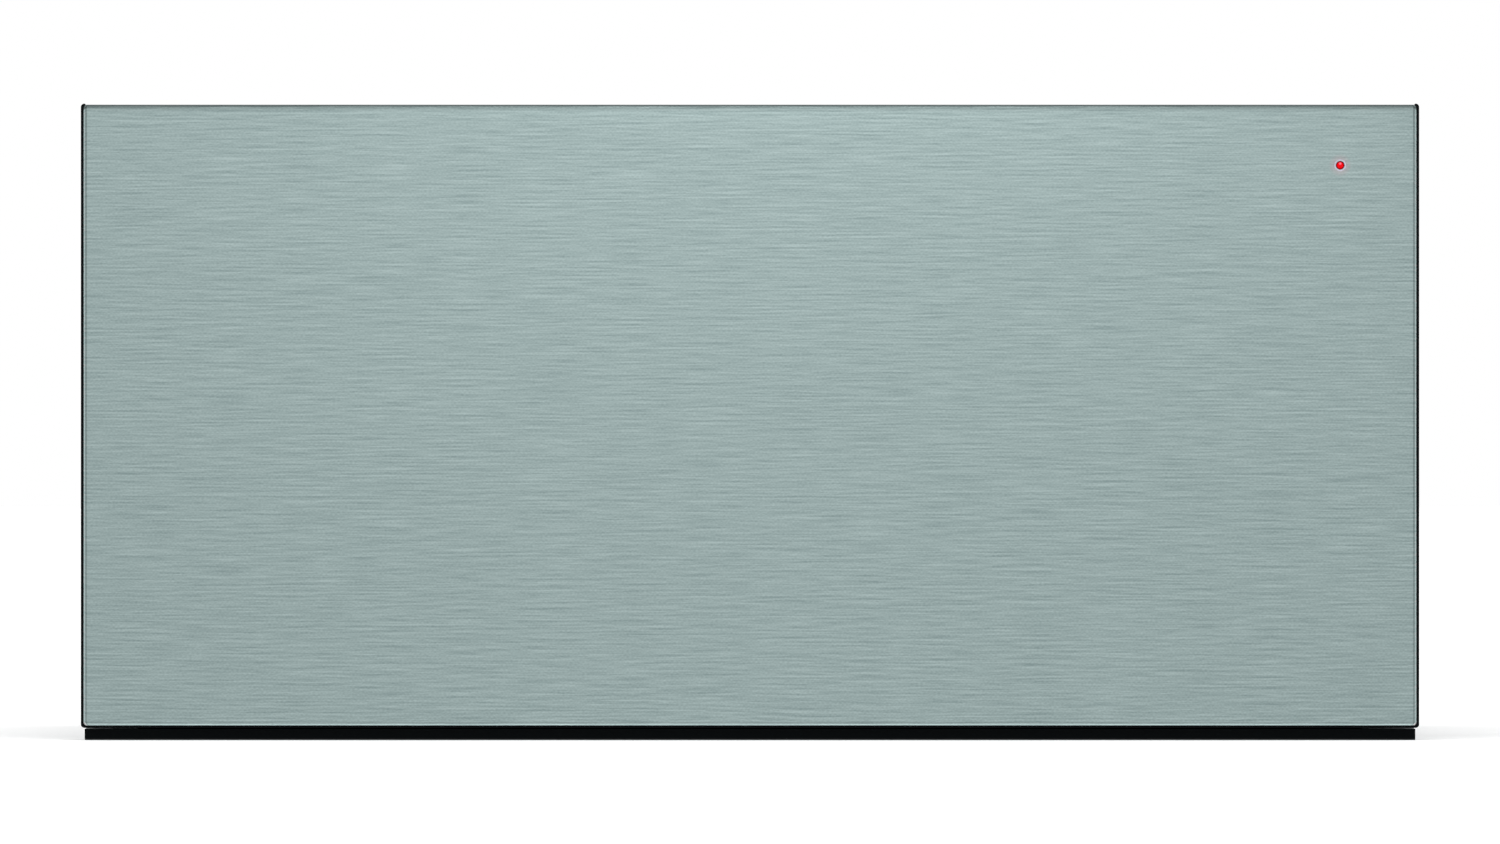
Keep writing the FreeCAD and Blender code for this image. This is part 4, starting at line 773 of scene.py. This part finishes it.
def headTree():
    tree, given = newTree("headSetting", {"Proud Head": "Object", "Sunk Head": "Object", "Turn Seed": "Int",
                                          "Head Finish": "Material"})
    facing = addNode(tree, "GeometryNodeInputNamedAttribute", {"data_type": "FLOAT_VECTOR", "Name": "facing"})
    sunk = addNode(tree, "GeometryNodeInputNamedAttribute", {"data_type": "BOOLEAN", "Name": "sunk"})
    level = addNode(tree, "FunctionNodeAlignRotationToVector", {"axis": "Z"}, {"Vector": facing.outputs[0]})
    chance = addNode(tree, "FunctionNodeRandomValue", {"data_type": "FLOAT", 3: math.tau},
                     {"Seed": given["Turn Seed"]})
    spin = addNode(tree, "FunctionNodeAxisAngleToRotation", {"Axis": (0, 0, 1)}, {"Angle": chance.outputs[1]})
    turned = addNode(tree, "FunctionNodeRotateRotation", {"rotation_space": "LOCAL"},
                     {0: level.outputs[0], 1: spin.outputs[0]})
    proud = addNode(tree, "FunctionNodeBooleanMath", {"operation": "NOT"}, {0: sunk.outputs[0]})
    sets = []
    for label, chosen in (("Proud Head", proud), ("Sunk Head", sunk)):
        head = addNode(tree, "GeometryNodeObjectInfo", None, {"Object": given[label]})
        sets.append(addNode(tree, "GeometryNodeInstanceOnPoints", None,
                            {"Points": given["Geometry"], "Selection": chosen.outputs[0],
                             "Instance": head.outputs["Geometry"], "Rotation": turned.outputs[0]}))
    both = addNode(tree, "GeometryNodeJoinGeometry", None, {0: sets[0].outputs[0]})
    tree.links.new(sets[1].outputs[0], both.inputs[0])
    endTree(tree, both.outputs[0], given["Head Finish"])
    return tree


setting = headTree()


def setHeads(name, places, proudHead, sunkHead, finish):
    # places holds each head's foot in mm, the way it faces, and whether it is sunk
    points = bpy.data.meshes.new(name + "Points")
    points.from_pydata([spot(*place) for place, facing, sunk in places], [], [])
    ways = points.attributes.new("facing", "FLOAT_VECTOR", "POINT")
    kinds = points.attributes.new("sunk", "BOOLEAN", "POINT")
    for i, (place, facing, sunk) in enumerate(places):
        ways.data[i].vector = facing
        kinds.data[i].value = sunk
    print(name, "set:", len(places))
    return runTree(name, points, setting, {"Proud Head": proudHead, "Sunk Head": sunkHead,
                                           "Turn Seed": screws["seed"], "Head Finish": finish})


def setScrews():
    panHead = screwHead("panHead", screws["panProfile"])
    sunkHead = screwHead("sunkHead", screws["sunkProfile"])
    cabinet, drawer = [], []
    for side in (-1, 1):
        for y in screws["railPlaces"]:
            cabinet.append(((side * screws["sideX"], y, screws["railHeight"]), (side, 0, 0), False))
            drawer.append(((side * screws["panX"], y, screws["railHeight"]), (-side, 0, 0), False))
        for z in screws["backPlaces"]:
            cabinet.append(((side * screws["sideX"], screws["backY"], z), (side, 0, 0), False))
        for y in screws["sunkY"]:
            for z in screws["sunkZ"]:
                cabinet.append(((side * screws["sunkX"], y, z), (0, 0, 1 if z else -1), True))
        for z in screws["frontZ"]:
            drawer.append(((side * screws["frontX"], screws["frontY"], z), (0, 1, 0), False))
    for i in range(screws["motorCount"]):
        angle = math.radians(90 + 360 * i / screws["motorCount"])
        x = screws["motorCircle"] * math.cos(angle)
        z = screws["motorZ"] + screws["motorCircle"] * math.sin(angle)
        drawer.append(((x, screws["motorY"], z), (0, 1, 0), False))
    for name, body, places, node in (("chassisScrews", "cabinet", cabinet, "chassis_screws"),
                                     ("drawerScrews", "drawer", drawer, "drawer_screws")):
        mesh = setHeads(name, places, panHead, sunkHead, finishes["screw_steel"])
        placePiece(name, mesh, body, "screw_steel", node)


setScrews()

# Clinched joints: punched through the back plate from inside, a row of round buttons on each edge
clinches = {
    "x": 267.2, "y": 273.8, "lowest": 28, "highest": 251, "count": 6,
    # radius and height, from under the sheet's face to the dimple on top
    "profile": ((3.6, -0.2), (3.888, 0), (3.6, 0.12), (3.42, 0.54), (3.096, 0.81), (2.664, 0.9),
                (1.44, 0.81)),
    "sides": 20,
    "sharpAngle": 50,
}


def clinchedJoints():
    zinc = finishes["galvanised"]
    shape = bmesh.new()
    rings = turnedRings(shape, clinches["profile"], clinches["sides"], Vector((0, 0, 1)), Vector())
    bridge(shape, rings)
    shape.faces.new(rings[0])
    shape.faces.new(rings[-1])
    mesh = finishMesh("clinchButton", shape, zinc, clinches["sharpAngle"])
    button = bpy.data.objects.new("clinchButton", mesh)
    step = (clinches["highest"] - clinches["lowest"]) / (clinches["count"] - 1)
    places = [((side * clinches["x"], clinches["y"], clinches["lowest"] + i * step), (0, 1, 0), False)
              for side in (-1, 1) for i in range(clinches["count"])]
    row = setHeads("clinchedJoints", places, button, button, zinc)
    placePiece("clinchedJoints", row, "cabinet", "galvanised")


clinchedJoints()

# Grip ribs round the collar of the supply entry
ribs = {
    "middle": (200, 278.2, 30),
    "count": 20, "circle": 10.7, "radius": 0.75, "length": 7.6,
    "sides": 10,
    "sharpAngle": 40,
}


def entryRibs():
    tree, given = newTree("collarRibs", {"Count": "Int", "Circle Radius": "Float", "Rib Radius": "Float",
                                         "Rib Length": "Float", "Rib Finish": "Material"})
    rib = addNode(tree, "GeometryNodeMeshCylinder", {"Vertices": ribs["sides"]},
                  {"Radius": given["Rib Radius"], "Depth": given["Rib Length"]})
    circle = addNode(tree, "GeometryNodeMeshCircle", None,
                     {"Vertices": given["Count"], "Radius": given["Circle Radius"]})
    row = addNode(tree, "GeometryNodeInstanceOnPoints", None,
                  {"Points": circle.outputs[0], "Instance": rib.outputs[0]})
    turned = addNode(tree, "GeometryNodeTransform",
                     {"Translation": spot(*ribs["middle"]), "Rotation": (math.radians(90), 0, 0)},
                     {"Geometry": row.outputs[0]})
    endTree(tree, turned.outputs[0], given["Rib Finish"])
    mesh = runTree("entryRibs", bpy.data.meshes.new("entryRibs"), tree,
                   {"Count": ribs["count"], "Circle Radius": mm(ribs["circle"]),
                    "Rib Radius": mm(ribs["radius"]), "Rib Length": mm(ribs["length"]),
                    "Rib Finish": finishes["black_plastic"]})
    placePiece("entryRibs", smoothMesh(mesh, ribs["sharpAngle"]), "cabinet", "black_plastic")


entryRibs()
print("screws, clinched joints and ribs made")

# Grip mat: silicone sheet with a soft edge and staggered rows of low studs
mat = {
    "sheet": 1.35,
    "edge": 0.5,  # how far the rounding reaches
    "edgeMiddle": 0.3,  # share of it, half way round
    "corner": 12,
    "cornerSteps": 8,
    "sharpAngle": 40,
    "pitch": 9.5,
    "rowShare": math.sqrt(0.75),  # of the pitch, so that neighbouring studs make equal triangles
    "margin": 10,
    "stud": 2.1,
    "studTop": 1.55,
    "studSides": 10,
    "studFoot": 0.15,  # sunk into the sheet
}


def matSlab(low, high, top):
    edge, share = mm(mat["edge"]), mat["edgeMiddle"]
    flatLow, flatHigh = (Vector((corner.x, 0, corner.y)) for corner in (low, high))
    shape = bmesh.new()
    rings = []
    for inset, z in ((0, low.z), (0, top - edge), (share * edge, top - share * edge), (edge, top)):
        outline = roundedOutline(flatLow, flatHigh, inset, mm(mat["corner"]), mat["cornerSteps"])
        rings.append([shape.verts.new((x, y, z)) for x, y in outline])
    bridge(shape, rings)
    shape.faces.new(rings[0])
    shape.faces.new(rings[-1])
    return finishMesh("gripMatSlab", shape, finishes["mat_rubber"], mat["sharpAngle"])


def gripMat():
    low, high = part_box("grip_mat")
    foot, top = mm(mat["studFoot"]), low.z + mm(mat["sheet"])
    tree, given = newTree("matStuds", {"Pitch": "Float", "Stud Radius": "Float", "Stud Top Radius": "Float",
                                       "Stud Height": "Float", "Mat Finish": "Material"})
    room = high - low
    rowPitch = mat["pitch"] * mat["rowShare"]
    across = int((room.x - mm(2 * mat["margin"])) / mm(mat["pitch"]))
    rows = int((room.y - mm(2 * mat["margin"])) / mm(2 * rowPitch))
    stud = addNode(tree, "GeometryNodeMeshCone", {"Vertices": mat["studSides"]},
                   {"Radius Top": given["Stud Top Radius"], "Radius Bottom": given["Stud Radius"],
                    "Depth": given["Stud Height"]})
    layers = [given["Geometry"]]
    for shift in (0, 1):  # every second row has one stud less, so it lies half a pitch aside
        count = across - shift
        sizes = []
        for pitches in (count - 1.0, (rows - 1) * 2 * mat["rowShare"]):
            size = addNode(tree, "ShaderNodeMath", {"operation": "MULTIPLY", 1: pitches}, {0: given["Pitch"]})
            sizes.append(size.outputs[0])
        grid = addNode(tree, "GeometryNodeMeshGrid", {"Vertices X": count, "Vertices Y": rows},
                       {"Size X": sizes[0], "Size Y": sizes[1]})
        y = (low.y + high.y) / 2 + mm(rowPitch) * (shift - 0.5)
        moved = addNode(tree, "GeometryNodeTransform",
                        {"Translation": ((low.x + high.x) / 2, y, top - foot)}, {"Geometry": grid.outputs[0]})
        dots = addNode(tree, "GeometryNodeInstanceOnPoints", None,
                       {"Points": moved.outputs[0], "Instance": stud.outputs[0]})
        layers.append(dots.outputs[0])
    both = addNode(tree, "GeometryNodeJoinGeometry")
    for layer in layers:
        tree.links.new(layer, both.inputs[0])
    endTree(tree, both.outputs[0], given["Mat Finish"])
    mesh = runTree("gripMat", matSlab(low, high, top), tree,
                   {"Pitch": mm(mat["pitch"]), "Stud Radius": mm(mat["stud"]),
                    "Stud Top Radius": mm(mat["studTop"]), "Stud Height": high.z - top + foot,
                    "Mat Finish": finishes["mat_rubber"]})
    triangles = sum(len(face.vertices) - 2 for face in mesh.polygons)
    print("mat studs:", rows * (2 * across - 1), "triangles:", triangles)
    placePiece("gripMat", mesh, "drawer", "mat_rubber", "grip_mat")


gripMat()

# Latch spring: drawn wire, wound open, its front end pushed by the plunger
spring = {
    "wire": 1.0,
    "turns": 5,
    "sides": 12,
    "stepsPerTurn": 40,
    "sharpAngle": 50,
}


def latchSpring():
    low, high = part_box("latch_spring")
    middle = (low + high) / 2
    wire = mm(spring["wire"]) / 2
    tree, given = newTree("woundSpring", {"Turns": "Float", "Coil Radius": "Float", "Wire Radius": "Float",
                                          "Coil Length": "Float", "Wire Finish": "Material"})
    coil = addNode(tree, "GeometryNodeCurveSpiral", {"Resolution": spring["stepsPerTurn"]},
                   {"Rotations": given["Turns"], "Start Radius": given["Coil Radius"],
                    "End Radius": given["Coil Radius"], "Height": given["Coil Length"]})
    section = addNode(tree, "GeometryNodeCurvePrimitiveCircle", {"Resolution": spring["sides"]},
                      {"Radius": given["Wire Radius"]})
    swept = addNode(tree, "GeometryNodeCurveToMesh", {"Fill Caps": True},
                    {"Curve": coil.outputs[0], "Profile Curve": section.outputs[0]})
    laid = addNode(tree, "GeometryNodeTransform",
                   {"Translation": (middle.x, low.y + wire, middle.z), "Rotation": (math.radians(-90), 0, 0)},
                   {"Geometry": swept.outputs[0]})
    endTree(tree, laid.outputs[0], given["Wire Finish"])
    mesh = runTree("latchSpring", bpy.data.meshes.new("springStart"), tree,
                   {"Turns": float(spring["turns"]), "Coil Radius": (high.x - low.x) / 2 - wire,
                    "Wire Radius": wire, "Coil Length": high.y - low.y - 2 * wire,
                    "Wire Finish": finishes["spring_steel"]})
    smoothMesh(mesh, spring["sharpAngle"])
    piece = placePiece("latchSpring", mesh, None, "spring_steel", "latch_spring")
    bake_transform(piece)


latchSpring()

# Printed signs on the keys: a thermometer, a clock and an on-off ring
signs = {
    "size": 2.0,
    "line": 0.55,
    "proud": 0.04,
    "soaked": 0.05,  # how far the ink reaches into the key
    "steps": 28,
    "sharpAngle": 30,
}


def inkStroke(shape, drawn, middle, closed):
    # a flat line of ink about the key's middle; drawn holds places in shares of the sign's size
    places = [(signs["size"] * x, signs["size"] * y) for x, y in drawn]
    half, proud, soaked = signs["line"] / 2, signs["proud"], -signs["soaked"]
    count = len(places)
    rings = []
    for i, (x, y) in enumerate(places):
        before = places[i - 1] if closed or i else places[i]
        after = places[(i + 1) % count] if closed or i < count - 1 else places[i]
        along = Vector((after[0] - before[0], after[1] - before[1])).normalized()
        side = Vector((-along.y, along.x)) * half
        ring = []
        for way, lift in ((1, soaked), (1, proud), (-1, proud), (-1, soaked)):
            ring.append(shape.verts.new(middle + spot(x + way * side.x, y + way * side.y, lift)))
        rings.append(ring)
    bridge(shape, rings + rings[:1] if closed else rings)
    if not closed:
        shape.faces.new(rings[0])
        shape.faces.new(rings[-1])


def inkArc(x, y, radius, start, stop):
    steps = signs["steps"]
    angles = [math.radians(start + (stop - start) * i / steps) for i in range(steps + 1)]
    return [(x + radius * math.cos(a), y + radius * math.sin(a)) for a in angles]


def keySigns():
    # each line, and whether its ends are joined
    drawings = {
        "temperature_key": [(inkArc(0, -0.6, 0.45, 115, 425), False),
                            ([(-0.19, -0.2), (-0.19, 0.8), (0, 1), (0.19, 0.8), (0.19, -0.2)], False)],
        "timer_key": [(inkArc(0, 0, 1, 0, 360)[:-1], True), ([(0, 0.62), (0, 0), (0.5, 0)], False)],
        "power_key": [(inkArc(0, 0, 1, 120, 420), False), ([(0, 0.25), (0, 1.15)], False)],
    }
    for key, strokes in drawings.items():
        low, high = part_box(key)
        middle = Vector(((low.x + high.x) / 2, (low.y + high.y) / 2, high.z))
        shape = bmesh.new()
        for drawn, closed in strokes:
            inkStroke(shape, drawn, middle, closed)
        name = key.split("_")[0] + "Sign"
        placePiece(name, finishMesh(name, shape, keyInk, signs["sharpAngle"]), key, "key_plastic")


keySigns()
print("mat, spring and signs made")

# Carried-over CAD pieces take the finish of their own slot
for node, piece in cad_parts.items():
    slot = piece.data.materials[0].name.split(".")[0]
    piece.data.materials.clear()
    piece.data.materials.append(ownFinishes.get(node, finishes[slot]))
print("CAD pieces dressed")
